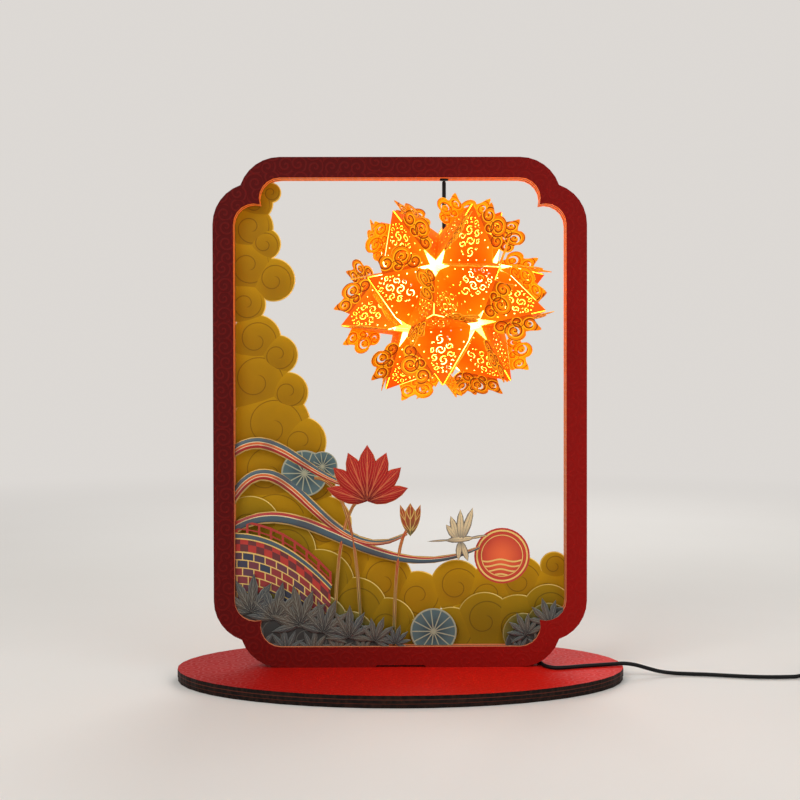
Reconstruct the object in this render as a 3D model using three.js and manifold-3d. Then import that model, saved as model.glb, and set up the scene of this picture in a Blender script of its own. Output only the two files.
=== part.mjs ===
// Paper sculpture lamp.
//
// A board frame with four stepped corners stands in two slots of an oval base. The frame is a stack of
// cut boards and spacers, and four pierced paper sheets are pinched between them, so the picture in the
// window has real depth. A ball of thirty folded paper pieces hangs in the window on its own cable,
// round a small bulb. The cable runs inside the frame, leaves through a bush at the back and goes on as
// a supply cord with an inline switch and a plug.
//
// Millimetres. +Z is up, the picture faces -Y, and the origin is on the table under the middle of the base.

import * as THREE from 'three';
import { mergeVertices } from 'three/addons/utils/BufferGeometryUtils.js';
import Module from 'manifold-3d';

const wasm = await Module();
wasm.setup();

const TURN = 2 * Math.PI;
const QUARTER = TURN / 4;
const up = new THREE.Vector3(0, 0, 1);

// Clearances
const FIT_GAP = 0.3; // between a piece and its seat
const CUT_OVERRUN = 1; // how far a cutting solid runs past what it cuts

// Base
const BASE_LENGTH = 348;
const BASE_WIDTH = 180;
const BASE_BOARD = 3; // thickness of each of the three boards
const BASE_LIP = 0.4; // how far the foot board's edge stands back
const BASE_HEIGHT = 3 * BASE_BOARD;

// Frame outline
const FRAME_WIDTH = 290;
const FRAME_HEIGHT = 396;
const BAR_WIDTH = 16;
const CORNER_RADIUS = 32; // of both arcs of a stepped corner
const CORNER_REACH = 52; // from the corner's point to where its arcs start
const NOTCH_WIDTH = 40; // relief under the front board
const NOTCH_RISE = 1.6;

// Frame stack, front to back
const FACE_BOARD = 3;
const SHEET = 0.5;
const SPACER = 1.7;
const CORE = 3.6;

// Tabs that hold the frame in the base
const TAB_WIDTH = 40;
const TAB_DEPTH = 5.6;
const TAB_PITCH = 100;

// Hanging lamp
const CABLE_DIAMETER = 3;
const CABLE_SHARE = 0.13372; // from the window's middle to where the cable leaves the top bar, of its width
const TIP_SHARE = 0.32946; // from the ball's centre to a point of the ball, of the window's width
const STAR_SHARE = 0.62588; // from the ball's centre to the middle of a star opening, of that radius
const FLAP_SHARE = 0.22353; // how far a scroll flap stands past its ridge, of that radius
const BALL_HEADROOM = 9; // between the ball's points and the top bar
const BALL_TURN = THREE.MathUtils.degToRad(-8.4); // how the ball hangs, about the vertical
const BALL_LEAN = THREE.MathUtils.degToRad(-3.7); // and to the side
const PAPER = 0.5;
const RIDGE_GAP = 0.75; // from a ridge of the ball back to a sheet's edge
const STAR_NECK = 5.5; // from a star's middle to the sheets, along a valley
const STAR_ARM = 13; // and along a ridge
const FOLD_OVERLAP = 0.3; // what the two halves of a ball piece share at their fold

// Lampholder and bulb
const HOLDER_TOP_DEPTH = 3.8; // how far below the top star opening the holder's top is
const HOLDER_NECK_HEIGHT = 3.3;
const HOLDER_SKIRT = 5;
const HOLDER_RADIUS = 8;
const HOLDER_NECK_RADIUS = 2.4;
const BULB_RADIUS = 9;
const BULB_WALL = 0.8;
const CAP_RADIUS = 5.3; // metal cap of the bulb
const CAP_HEIGHT = 4.6;
const CAP_SEAT = 3.7; // how far the cap goes up into the holder

// Cable inside the frame
const CHANNEL_WIDTH = 3.8;
const BEND_REACH = 4; // from a bend's corner to where the cable leaves its straight runs
const GROMMET_RADIUS = 3.4;
const GROMMET_FLANGE = 1;
const GROMMET_DEPTH = 3;
const EXIT_INSET = 61; // from the frame's side in to where the cord leaves the back of the bottom bar
const EXIT_BORE = 3.6; // radius of the hole
const RELIEF_FLANGE_RADIUS = 5;
const RELIEF_FLANGE = 1.4;
const RELIEF_TAIL = 9;
const RELIEF_TAIL_RADIUS = 2.3;

// Inline switch
const SWITCH_LENGTH = 44;
const SWITCH_WIDTH = 20;
const SWITCH_HEIGHT = 11;
const SWITCH_CHAMFER = 2;
const BUTTON_RADIUS = 4.5;
const BUTTON_PROUD = 2.2;
const BUTTON_TRAVEL = 1.5;
const BUTTON_DEPTH = 4;
const SWITCH_X = 326; // the end that the lead comes into
const SWITCH_Y = -10;
const CORD_HEIGHT = 5.5; // of the cord where it meets the switch

// Coil of the supply cord
const COIL_INNER_RADIUS = 8.5;
const COIL_PITCH = 4.2; // from one loop to the next
const COIL_LAYER = 3.6; // from one layer to the next
const COIL_LOOPS_IN = 4;
const COIL_LOOPS_CLIMB = 0.5;
const COIL_LOOPS_OUT = 3.75;
const COIL_STEPS = 20; // per loop
const COIL_Y = -50;
const COIL_LEAD_BEND = 11; // radius of the bend between the switch and the coil
const COIL_TAIL = 22; // from the coil to the plug
const TIE_THICKNESS = 0.4;
const TIE_WIDTH = 8;

// Plug
const PLUG_LENGTH = 20;
const PLUG_WIDTH = 15;
const PLUG_HEIGHT = 7.6;
const PLUG_CHAMFER = 1.4;
const SHELL_LENGTH = 12;
const SHELL_WIDTH = 12;
const SHELL_HEIGHT = 4.5;
const SHELL_WALL = 0.5;

// Places that follow from the sizes above
const HALF_WIDTH = FRAME_WIDTH / 2;
const HALF_HEIGHT = FRAME_HEIGHT / 2;
const FRAME_MIDDLE = BASE_HEIGHT + HALF_HEIGHT;
const FRAME_TOP = BASE_HEIGHT + FRAME_HEIGHT;
const RIM = FRAME_TOP - BAR_WIDTH; // underside of the top bar
const SILL = BASE_HEIGHT + BAR_WIDTH; // top of the bottom bar
const WINDOW_WIDTH = FRAME_WIDTH - 2 * BAR_WIDTH;
const WINDOW_HEIGHT = FRAME_HEIGHT - 2 * BAR_WIDTH;
const FRAME_DEPTH = 2 * FACE_BOARD + 4 * SHEET + 2 * SPACER + CORE;
const CABLE_RADIUS = CABLE_DIAMETER / 2;
const EXIT_X = HALF_WIDTH - EXIT_INSET;
const EXIT_Z = BASE_HEIGHT + BAR_WIDTH / 2;
const CABLE_X = CABLE_SHARE * WINDOW_WIDTH;
const TIP_RADIUS = TIP_SHARE * WINDOW_WIDTH;
const STAR_RADIUS = STAR_SHARE * TIP_RADIUS;
const FLAP_WIDTH = FLAP_SHARE * TIP_RADIUS;
const BALL_CENTRE = new THREE.Vector3(CABLE_X, 0, RIM - BALL_HEADROOM - TIP_RADIUS);
const HOLDER_TOP = STAR_RADIUS - HOLDER_TOP_DEPTH; // heights from the ball's centre
const HOLDER_SHOULDER = HOLDER_TOP - HOLDER_NECK_HEIGHT;
const HOLDER_MOUTH = HOLDER_SHOULDER - HOLDER_SKIRT;
const COIL_OUTER_RADIUS = COIL_INNER_RADIUS + COIL_LOOPS_IN * COIL_PITCH;
const COIL_FLOOR = CABLE_RADIUS + TIE_THICKNESS + FIT_GAP;
const COIL_START_X = SWITCH_X + SWITCH_LENGTH + CABLE_DIAMETER + COIL_LEAD_BEND;
const COIL_X = COIL_START_X - COIL_OUTER_RADIUS;
const COIL_END_RADIUS = COIL_INNER_RADIUS + COIL_LOOPS_OUT * COIL_PITCH;
const PLUG_X = COIL_X - COIL_TAIL; // the end of the plug that the cord goes into
const PLUG_Y = COIL_Y - COIL_END_RADIUS;
const PLUG_Z = PLUG_HEIGHT / 2;

// Colours
const paint = (color, roughness = 0.7, metalness = 0) =>
  new THREE.MeshStandardMaterial({ color, roughness, metalness });
const redBoard = paint(0x9c1a10, 0.6);
const darkBoard = paint(0x2a1a12, 0.8);
const lampPaper = paint(0xff8a1c, 0.65);
const cloudPaper = paint(0xb0820f);
const slatePaper = paint(0x5f6f78);
const leafPaper = paint(0x7c8a86);
const crimsonPaper = paint(0xa8201c);
const sunPaper = paint(0xc8401c);
const hillPaper = paint(0x8a7a1c);
const creamPaper = paint(0xe6d4b0);
const blackRubber = paint(0x141414, 0.5);
const blackPlastic = paint(0x1c1c1c, 0.4);
const buttonPlastic = paint(0x3a3a3a, 0.4);
const frostedGlass = paint(0xfff0c8, 0.4);
const plugSteel = paint(0xc4c6c8, 0.3, 1);
const capBrass = paint(0xb8923c, 0.35, 1);

const lamp = new THREE.Group();

function piece(name, geometry, material, parent = lamp) {
  const mesh = new THREE.Mesh(geometry, material);
  mesh.name = name;
  parent.add(mesh);
  return mesh;
}

// Solids for joining and cutting

function toSolid(geometry) {
  const bare = geometry.clone();
  bare.deleteAttribute('normal');
  bare.deleteAttribute('uv');
  const merged = mergeVertices(bare);
  const corners = merged.index.array;
  const triVerts = [];
  for (let i = 0; i < corners.length; i += 3) {
    const [a, b, c] = corners.slice(i, i + 3);
    if (a !== b && b !== c && c !== a) triVerts.push(a, b, c);
  }
  return new wasm.Manifold(new wasm.Mesh({
    numProp: 3,
    vertProperties: new Float32Array(merged.attributes.position.array),
    triVerts: new Uint32Array(triVerts),
  }));
}

function toGeometry(solid) {
  const { vertProperties, triVerts } = solid.getMesh();
  const geometry = new THREE.BufferGeometry();
  geometry.setAttribute('position', new THREE.BufferAttribute(vertProperties, 3));
  geometry.setIndex(new THREE.BufferAttribute(triVerts, 1));
  return geometry.toNonIndexed();
}

const joined = (...geometries) =>
  toGeometry(geometries.map(toSolid).reduce((whole, part) => whole.add(part)));
const cut = (geometry, ...tools) =>
  toGeometry(tools.map(toSolid).reduce((left, tool) => left.subtract(tool), toSolid(geometry)));

// Plates and turned pieces

function plate(shape, bottom, top, curveSegments = 3) {
  const geometry = new THREE.ExtrudeGeometry(shape, { depth: top - bottom, bevelEnabled: false, curveSegments });
  return geometry.translate(0, 0, bottom);
}

// A plate that stands in the window: its outline is drawn in x and z, and y runs from front to back.
function standing(shape, front, back, curveSegments = 3) {
  const geometry = new THREE.ExtrudeGeometry(shape, { depth: back - front, bevelEnabled: false, curveSegments });
  return geometry.rotateX(QUARTER).translate(0, back, 0);
}

// Turns a plate drawn in y and z, with its thickness up, so that the thickness runs along x.
const alongX = (geometry) => geometry.rotateX(QUARTER).rotateZ(QUARTER);

// A turned piece on the vertical axis, from a profile of radius and height that runs upwards outside.
function turned(profile, sides) {
  const points = profile.map(([radius, height]) => new THREE.Vector2(radius, height));
  return new THREE.LatheGeometry(points, sides).rotateX(QUARTER);
}

function rectangle(width, height, x, y) {
  const shape = new THREE.Shape();
  shape.moveTo(x - width / 2, y - height / 2);
  shape.lineTo(x + width / 2, y - height / 2);
  shape.lineTo(x + width / 2, y + height / 2);
  shape.lineTo(x - width / 2, y + height / 2);
  shape.closePath();
  return shape;
}

function disc(x, y, radius) {
  const shape = new THREE.Shape();
  shape.absarc(x, y, radius, 0, TURN);
  return shape;
}

// A closed tube through points, with rings of the given number of sides.
function tube(points, radius, sides) {
  const last = points.length - 1;
  const positions = [];
  const index = [];
  let across = null;
  points.forEach((point, i) => {
    const along = points[Math.min(i + 1, last)].clone().sub(points[Math.max(i - 1, 0)]).normalize();
    across = across ?? (Math.abs(along.z) > 0.9 ? new THREE.Vector3(1, 0, 0) : up.clone());
    across.addScaledVector(along, -across.dot(along)).normalize();
    const beside = along.clone().cross(across);
    for (let side = 0; side < sides; side += 1) {
      const angle = (side / sides) * TURN;
      const vertex = point.clone()
        .addScaledVector(across, radius * Math.cos(angle))
        .addScaledVector(beside, radius * Math.sin(angle));
      positions.push(vertex.x, vertex.y, vertex.z);
    }
  });
  for (let ring = 0; ring < last; ring += 1) {
    for (let side = 0; side < sides; side += 1) {
      const next = (side + 1) % sides;
      const [a, b] = [ring * sides + side, ring * sides + next];
      index.push(a, b, b + sides, a, b + sides, a + sides);
    }
  }
  for (let side = 1; side < sides - 1; side += 1) {
    index.push(0, side + 1, side);
    index.push(last * sides, last * sides + side, last * sides + side + 1);
  }
  const geometry = new THREE.BufferGeometry();
  geometry.setAttribute('position', new THREE.Float32BufferAttribute(positions, 3));
  geometry.setIndex(index);
  return geometry;
}

// Points with each inner corner rounded from reach before it to reach after it.
function rounded(points, reach, steps = 3) {
  const line = [points[0]];
  for (let i = 1; i < points.length - 1; i += 1) {
    const corner = points[i];
    const before = corner.clone().add(points[i - 1].clone().sub(corner).setLength(reach));
    const after = corner.clone().add(points[i + 1].clone().sub(corner).setLength(reach));
    line.push(...new THREE.QuadraticBezierCurve3(before, corner, after).getPoints(steps));
  }
  line.push(points.at(-1));
  return line;
}

// The outline of a strip along points in the x and z plane. Its width is even, or follows a taper.
function strip(points, width, taper = () => 1) {
  const last = points.length - 1;
  const sides = [[], []];
  points.forEach((point, i) => {
    const along = points[Math.min(i + 1, last)].clone().sub(points[Math.max(i - 1, 0)]).normalize();
    const aside = new THREE.Vector2(-along.z, along.x).multiplyScalar((width / 2) * taper(i / last));
    sides[0].push(new THREE.Vector2(point.x + aside.x, point.z + aside.y));
    sides[1].unshift(new THREE.Vector2(point.x - aside.x, point.z - aside.y));
  });
  return new THREE.Shape([...sides[1], ...sides[0]]);
}

// Frame outline

// Where the two arcs of a stepped corner meet, measured in from both outer edges.
function cuspDepth(arcRadius) {
  const step = CORNER_REACH - CORNER_RADIUS;
  return (CORNER_RADIUS + CORNER_REACH - Math.sqrt(2 * arcRadius ** 2 - step ** 2)) / 2;
}

// The frame's outline, set in by a distance from its outer edge, with extra points along its foot.
function traceFrame(path, inset, footPoints = []) {
  const arcRadius = CORNER_RADIUS - inset;
  const cusp = cuspDepth(arcRadius);
  const sweep = Math.atan2(CORNER_REACH - cusp, CORNER_RADIUS - cusp);
  const corners = [[1, 1], [-1, 1], [-1, -1], [1, -1]];
  corners.forEach(([right, top], i) => {
    const beside = [right * (HALF_WIDTH - CORNER_RADIUS), FRAME_MIDDLE + top * (HALF_HEIGHT - CORNER_REACH)];
    const above = [right * (HALF_WIDTH - CORNER_REACH), FRAME_MIDDLE + top * (HALF_HEIGHT - CORNER_RADIUS)];
    const [first, second] = i % 2 === 0 ? [beside, above] : [above, beside];
    const start = i * QUARTER;
    if (i === corners.length - 1) footPoints.forEach(([x, z]) => path.lineTo(x, z));
    path.absarc(...first, arcRadius, start, start + sweep);
    path.absarc(...second, arcRadius, start + QUARTER - sweep, start + QUARTER);
  });
  path.closePath();
  return path;
}

function ring(footPoints = [], inset = 0, width = BAR_WIDTH) {
  const shape = traceFrame(new THREE.Shape(), inset, footPoints);
  shape.holes.push(traceFrame(new THREE.Path(), inset + width));
  return shape;
}

// The stack, front to back: each layer's front and back.
function stack(layers) {
  const places = {};
  let front = -FRAME_DEPTH / 2;
  for (const [name, thickness] of layers) {
    places[name] = { front, back: front + thickness };
    front += thickness;
  }
  return places;
}
const STACK = stack([
  ['frame_front_board', FACE_BOARD],
  ['sheet_leaves', SHEET],
  ['frame_spacer_front', SPACER],
  ['sheet_streamers', SHEET],
  ['frame_core', CORE],
  ['sheet_hills', SHEET],
  ['frame_spacer_back', SPACER],
  ['sheet_clouds', SHEET],
  ['frame_back_board', FACE_BOARD],
]);

// The hole through the back of the stack that the cord leaves by.
const exitHole = () =>
  new THREE.CylinderGeometry(EXIT_BORE, EXIT_BORE, FRAME_DEPTH + 2 * CUT_OVERRUN, 16).translate(EXIT_X, 0, EXIT_Z);

// The cable's run inside the core, from the hole in the top bar round the right side to the exit.
function cableRun() {
  const middle = BAR_WIDTH / 2;
  const cusp = cuspDepth(CORNER_RADIUS - middle);
  const arcShare = 0.4; // how far round each arc the run keeps to it, of a quarter turn
  const arcAngle = arcShare * QUARTER;
  const arcRadius = CORNER_RADIUS - middle;
  const cornerDepths = [
    [CORNER_REACH, middle],
    [CORNER_REACH - arcRadius * Math.sin(arcAngle), CORNER_RADIUS - arcRadius * Math.cos(arcAngle)],
    [cusp, cusp],
    [CORNER_RADIUS - arcRadius * Math.cos(arcAngle), CORNER_REACH - arcRadius * Math.sin(arcAngle)],
    [middle, CORNER_REACH],
  ];
  const points = [
    new THREE.Vector3(CABLE_X, 0, RIM + GROMMET_DEPTH + FIT_GAP),
    new THREE.Vector3(CABLE_X, 0, FRAME_TOP - middle),
  ];
  for (const [x, z] of cornerDepths) points.push(new THREE.Vector3(HALF_WIDTH - x, 0, FRAME_TOP - z));
  for (const [x, z] of cornerDepths.toReversed()) points.push(new THREE.Vector3(HALF_WIDTH - x, 0, BASE_HEIGHT + z));
  points.push(new THREE.Vector3(EXIT_X, 0, EXIT_Z));
  return rounded(points, BEND_REACH, 2);
}

function addBase() {
  const slotWidth = TAB_WIDTH + 2 * FIT_GAP;
  const slotDepth = CORE + 2 * FIT_GAP;
  const slots = [-1, 1].map((side) =>
    plate(rectangle(slotWidth, slotDepth, (side * TAB_PITCH) / 2, 0), BASE_BOARD, BASE_HEIGHT + CUT_OVERRUN));
  const board = (floor, lip) => {
    const oval = new THREE.Shape();
    oval.absellipse(0, 0, BASE_LENGTH / 2 - lip, BASE_WIDTH / 2 - lip, 0, TURN);
    return plate(oval, floor, floor + BASE_BOARD, 24);
  };
  piece('base_foot_board', board(0, BASE_LIP), darkBoard);
  piece('base_middle_board', cut(board(BASE_BOARD, 0), ...slots), darkBoard);
  piece('base_top_board', cut(board(2 * BASE_BOARD, 0), ...slots), redBoard);
}

function addFrame() {
  const footFrom = (halfWidth, slope, depth, middle) => [
    [middle - halfWidth, BASE_HEIGHT],
    [middle - halfWidth + slope, BASE_HEIGHT + depth],
    [middle + halfWidth - slope, BASE_HEIGHT + depth],
    [middle + halfWidth, BASE_HEIGHT],
  ];
  const notch = footFrom(NOTCH_WIDTH / 2, NOTCH_RISE, NOTCH_RISE, 0);
  const tabs = [-1, 1].flatMap((side) => footFrom(TAB_WIDTH / 2, 0, -TAB_DEPTH, (side * TAB_PITCH) / 2));
  const layer = (name, footPoints, material, drilled) => {
    const { front, back } = STACK[name];
    const board = standing(ring(footPoints), front, back);
    piece(name, drilled ? cut(board, exitHole()) : board, material);
  };
  layer('frame_front_board', notch, redBoard, false);
  layer('frame_spacer_front', [], darkBoard, false);
  layer('frame_spacer_back', [], darkBoard, true);
  layer('frame_back_board', [], redBoard, true);

  const run = cableRun();
  const mouth = run[0].clone().setZ(RIM - CUT_OVERRUN);
  const end = run.at(-1).clone().setX(EXIT_X - EXIT_BORE);
  const channel = strip([mouth, ...run.slice(1, -1), end], CHANNEL_WIDTH);
  const { front, back } = STACK.frame_core;
  const cutter = standing(channel, front - CUT_OVERRUN, back + CUT_OVERRUN);
  piece('frame_core', cut(standing(ring(tabs), front, back), cutter), darkBoard);
  piece('internal_cable', tube(run, CABLE_RADIUS, 5), blackRubber);
}

// Paper sheets

// Discs that make up clouds, hills, meadow and bushes: x from the window's middle and radius in shares
// of its width, z from its sill in shares of its height.
const CLOUD_SHARES = [
  [-0.391, 0.973, 0.031], [-0.438, 0.951, 0.054], [-0.453, 0.898, 0.07], [-0.411, 0.863, 0.05], [-0.461, 0.816, 0.078],
  [-0.384, 0.786, 0.066], [-0.469, 0.734, 0.062], [-0.438, 0.657, 0.078], [-0.372, 0.624, 0.062], [-0.438, 0.569, 0.105],
  [-0.341, 0.544, 0.062], [-0.391, 0.47, 0.12], [-0.302, 0.437, 0.078], [-0.403, 0.371, 0.116], [-0.275, 0.349, 0.078],
  [-0.391, 0.261, 0.132], [-0.233, 0.261, 0.085], [-0.349, 0.151, 0.155], [-0.178, 0.173, 0.101], [-0.054, 0.135, 0.093],
  [0.054, 0.102, 0.078], [0.171, 0.124, 0.081], [0.271, 0.102, 0.093], [0.364, 0.135, 0.078], [0.453, 0.107, 0.078],
  [0.469, 0.168, 0.043], [-0.388, 0.027, 0.116], [-0.213, 0.036, 0.124], [-0.085, 0.025, 0.093], [0.225, 0.025, 0.101],
  [0.341, 0.03, 0.101], [0.457, 0.041, 0.085],
];
const HILL_SHARES = [
  [-0.457, 0.255, 0.093], [-0.357, 0.201, 0.101], [-0.248, 0.129, 0.109], [-0.14, 0.074, 0.101], [-0.039, 0.041, 0.085],
  [-0.388, 0.069, 0.155], [-0.233, 0.025, 0.132], [0.062, 0.014, 0.062], [0.155, 0.025, 0.078], [0.256, 0.052, 0.085],
  [0.357, 0.041, 0.093], [0.45, 0.074, 0.078], [0.388, -0.003, 0.085],
];
const MEADOW_SHARES = [
  [-0.434, 0.124, 0.101], [-0.357, 0.074, 0.116], [-0.256, 0.041, 0.101], [-0.155, 0.019, 0.078], [0.372, 0.025, 0.062],
  [0.45, 0.041, 0.07],
];
const BUSH_SHARES = [
  [-0.465, 0.041, 0.07], [-0.38, 0.025, 0.07], [-0.279, 0.014, 0.07], [-0.178, 0.008, 0.054], [-0.078, 0.003, 0.043],
  [0.364, 0.003, 0.047], [0.434, 0.019, 0.054], [0.481, 0.052, 0.043],
];

// Sprigs of leaves: foot, leaf length, and the middle leaf's direction in shares of a turn.
const SPRIG_SHARES = [
  [-0.45, 0.074, 0.116, 0.239], [-0.38, 0.058, 0.116, 0.215], [-0.302, 0.047, 0.12, 0.279], [-0.233, 0.03, 0.105, 0.191],
  [-0.155, 0.019, 0.097, 0.247], [-0.078, 0.011, 0.078, 0.191], [-0.016, 0.005, 0.058, 0.207], [0.38, 0.025, 0.07, 0.318],
  [0.45, 0.047, 0.081, 0.294],
];
const LEAF_SLENDER_SHARE = 0.3; // leaf width over leaf length
const LEAF_FAN_SHARES = [-0.26, -0.17, -0.085, 0, 0.085, 0.17, 0.26]; // directions beside the middle leaf's

// Streamers, by the four points of a curve.
const STREAMER_SHARES = [
  [[-0.53, 0.29], [-0.36, 0.53], [-0.24, 0.13], [0.02, 0.24]],
  [[-0.53, 0.24], [-0.29, 0.37], [-0.1, 0.1], [0.24, 0.21]],
  [[-0.53, 0.4], [-0.4, 0.5], [-0.3, 0.36], [-0.13, 0.34]],
];
const STREAMER_WIDTH = 9.5; // where it is fullest
const STREAMER_FULL_SHARE = 0.33; // how far along it that is
const STREAMER_TIP_SHARE = 0.25; // width of its tip, of its full width
const windowX = (share) => share * WINDOW_WIDTH;
const windowZ = (share) => SILL + share * WINDOW_HEIGHT;

// A flat outline at a height between two faces, as a solid for joining.
const leafOf = (shape, { front, back }, curveSegments) => toSolid(standing(shape, front, back, curveSegments));

// A sheet of paper pinched in the frame: a full ring with its picture grown out of it.
function pictureSheet(name, discShares, shapes = []) {
  const layer = STACK[name];
  const discs = discShares.map(([x, z, radius]) => leafOf(disc(windowX(x), windowZ(z), windowX(radius)), layer, 7));
  const others = shapes.map((shape) => leafOf(shape, layer, 3));
  const picture = [...discs, ...others].reduce((whole, part) => whole.add(part), leafOf(ring(), layer, 3));
  return picture.intersect(leafOf(traceFrame(new THREE.Shape(), 0), layer, 3));
}

// A leaf, petal or feather from its root: two curves that meet in a point. Each curve is drawn to a
// belly near the root and a shoulder near the tip.
const BELLY_SHARES = [0.25, 0.7]; // along the length, and aside in widths
const SHOULDER_SHARES = [0.75, 0.55];

function petal(x, z, length, width, angle) {
  const place = (along, aside) => [
    x + along * Math.cos(angle) - aside * Math.sin(angle),
    z + along * Math.sin(angle) + aside * Math.cos(angle),
  ];
  const [belly, bellyOut] = [length * BELLY_SHARES[0], width * BELLY_SHARES[1]];
  const [shoulder, shoulderOut] = [length * SHOULDER_SHARES[0], width * SHOULDER_SHARES[1]];
  const shape = new THREE.Shape();
  shape.moveTo(...place(0, 0));
  shape.bezierCurveTo(...place(belly, -bellyOut), ...place(shoulder, -shoulderOut), ...place(length, 0));
  shape.bezierCurveTo(...place(shoulder, shoulderOut), ...place(belly, bellyOut), ...place(0, 0));
  return shape;
}

function sprigs() {
  return SPRIG_SHARES.flatMap(([x, z, length, turn]) => LEAF_FAN_SHARES.map((fan) => {
    const reach = windowX(length) * (1 - Math.abs(fan));
    return petal(windowX(x), windowZ(z), reach, reach * LEAF_SLENDER_SHARE, (turn + fan) * TURN);
  }));
}

// Water plants on the streamer sheet: stems by their foot, top and bend, then round leaves.
const STEM_SHARES = [[-0.2, -0.02, -0.1, 0.32], [-0.02, -0.02, 0.03, 0.25], [-0.12, -0.02, -0.26, 0.36]];
const STEM_WIDTH = 2.6;
const BUD_SHARES = [0.03, 0.235, 0.1];
const PAD_SHARES = [[-0.29, 0.37, 0.07], [-0.235, 0.385, 0.045], [0.1, 0.03, 0.07]];

function waterPlants() {
  const stems = STEM_SHARES.map(([footX, footZ, topX, topZ]) => {
    const foot = new THREE.Vector3(windowX(footX), 0, windowZ(footZ));
    const bend = new THREE.Vector3(windowX(footX), 0, windowZ(topZ));
    const top = new THREE.Vector3(windowX(topX), 0, windowZ(topZ));
    return strip(new THREE.QuadraticBezierCurve3(foot, bend, top).getPoints(8), STEM_WIDTH);
  });
  const [x, z, length] = BUD_SHARES;
  const bud = petal(windowX(x), windowZ(z), windowX(length), windowX(length) / 2, QUARTER);
  return [...stems, bud];
}

function streamerTaper(share) {
  const past = (share - STREAMER_FULL_SHARE) / (1 - STREAMER_FULL_SHARE);
  return 1 - (1 - STREAMER_TIP_SHARE) * past ** 2;
}

function streamers() {
  return STREAMER_SHARES.map((places) => {
    const points = places.map(([x, z]) => new THREE.Vector3(windowX(x), 0, windowZ(z)));
    return strip(new THREE.CubicBezierCurve3(...points).getPoints(14), STREAMER_WIDTH, streamerTaper);
  });
}

// Pieces glued on the front of a sheet

const SUN_SHARES = [0.31, 0.19, 0.085];
const BLOOM_SHARES = [-0.1, 0.31]; // foot of the lotus
const BLOOM_SIZE = 44;
const BLOOM_LEAN_SHARES = [-0.2, -0.125, -0.06, 0, 0.06, 0.125, 0.2]; // from upright, in shares of a turn
const BLOOM_SHORTEN_SHARE = 1.2; // how much shorter a petal is for each turn that it leans
const PETAL_SLENDER_SHARE = 0.42; // petal width over petal length
const BRIDGE_SPAN = 74;
const BRIDGE_RISE = 40;
const BRIDGE_FOOT = 46; // from the sill up to the deck's low end
const BRIDGE_DECK = 5;
const RAIL_HEIGHT = 11;
const RAIL_WIDTH = 1.8;
const POST_COUNT = 9;
const MID_RAIL_WIDTH = 1;
const ARCH_RADIUS = 19;
const ARCH_SIDE = 3.8; // of the bridge's body between the frame and the arch
const CRANE_SHARES = [0.2, 0.225];
const CRANE_SIZE = 34;

function gluedOn(name, sheet, shapes, material, curveSegments) {
  const back = STACK[sheet].front;
  const layer = { front: back - SHEET, back };
  const whole = shapes.map((shape) => leafOf(shape, layer, curveSegments)).reduce((sum, part) => sum.add(part));
  const inWindow = leafOf(traceFrame(new THREE.Shape(), BAR_WIDTH + FIT_GAP), layer, 3);
  piece(name, toGeometry(whole.intersect(inWindow)), material);
}

function lotusPetals() {
  const [x, z] = [windowX(BLOOM_SHARES[0]), windowZ(BLOOM_SHARES[1])];
  return BLOOM_LEAN_SHARES.map((lean) => {
    const length = BLOOM_SIZE * (1 - BLOOM_SHORTEN_SHARE * Math.abs(lean));
    return petal(x, z, length, length * PETAL_SLENDER_SHARE, QUARTER - lean * TURN);
  });
}

// Half of an arched bridge that comes out from behind the frame's left bar.
function bridgeShapes() {
  const left = -WINDOW_WIDTH / 2 + FIT_GAP;
  const deck = (raise) => Array.from({ length: POST_COUNT }, (_, i) => {
    const share = i / (POST_COUNT - 1);
    const drop = BRIDGE_RISE * share ** 2;
    return new THREE.Vector3(left + share * BRIDGE_SPAN, 0, SILL + BRIDGE_FOOT + BRIDGE_RISE - drop + raise);
  });
  const deckLine = deck(0);
  const body = new THREE.Shape(deckLine.map(({ x, z }) => new THREE.Vector2(x, z)));
  const water = SILL + BRIDGE_FOOT / 2;
  const archMiddle = left + ARCH_SIDE + ARCH_RADIUS;
  body.lineTo(left + BRIDGE_SPAN, water);
  body.lineTo(archMiddle + ARCH_RADIUS, water);
  body.absarc(archMiddle, water, ARCH_RADIUS, 0, Math.PI);
  body.lineTo(left, water);
  const posts = deckLine.map(({ x, z }, i) => {
    const inside = i === 0 ? RAIL_WIDTH / 2 : 0;
    return rectangle(RAIL_WIDTH, RAIL_HEIGHT + RAIL_WIDTH, x + inside, z + RAIL_HEIGHT / 2);
  });
  const rails = [strip(deck(RAIL_HEIGHT), RAIL_WIDTH), strip(deck(RAIL_HEIGHT / 2), MID_RAIL_WIDTH)];
  return [body, strip(deckLine, BRIDGE_DECK), ...rails, ...posts];
}

// A flying crane: body, wings, neck and legs in shares of its length.
function craneShapes() {
  const [x, z] = [windowX(CRANE_SHARES[0]), windowZ(CRANE_SHARES[1])];
  const partShares = [
    [-0.5, 0, 0.72, 0.17, 0.015], [0.02, 0.04, 0.5, 0.07, 0.03], [-0.3, 0.02, -0.6, 0.05, 0.01],
    [-0.1, 0, 0.8, 0.2, 0.2], [-0.14, 0, 0.72, 0.2, 0.25], [-0.18, 0, 0.6, 0.2, 0.3], [-0.2, 0, 0.46, 0.18, 0.35],
    [-0.12, 0, 0.5, 0.16, -0.2], [-0.16, 0, 0.46, 0.16, -0.26],
  ];
  return partShares.map(([along, above, length, width, turn]) => petal(
    x + along * CRANE_SIZE, z + above * CRANE_SIZE, length * CRANE_SIZE, width * CRANE_SIZE, turn * TURN,
  ));
}

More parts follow.
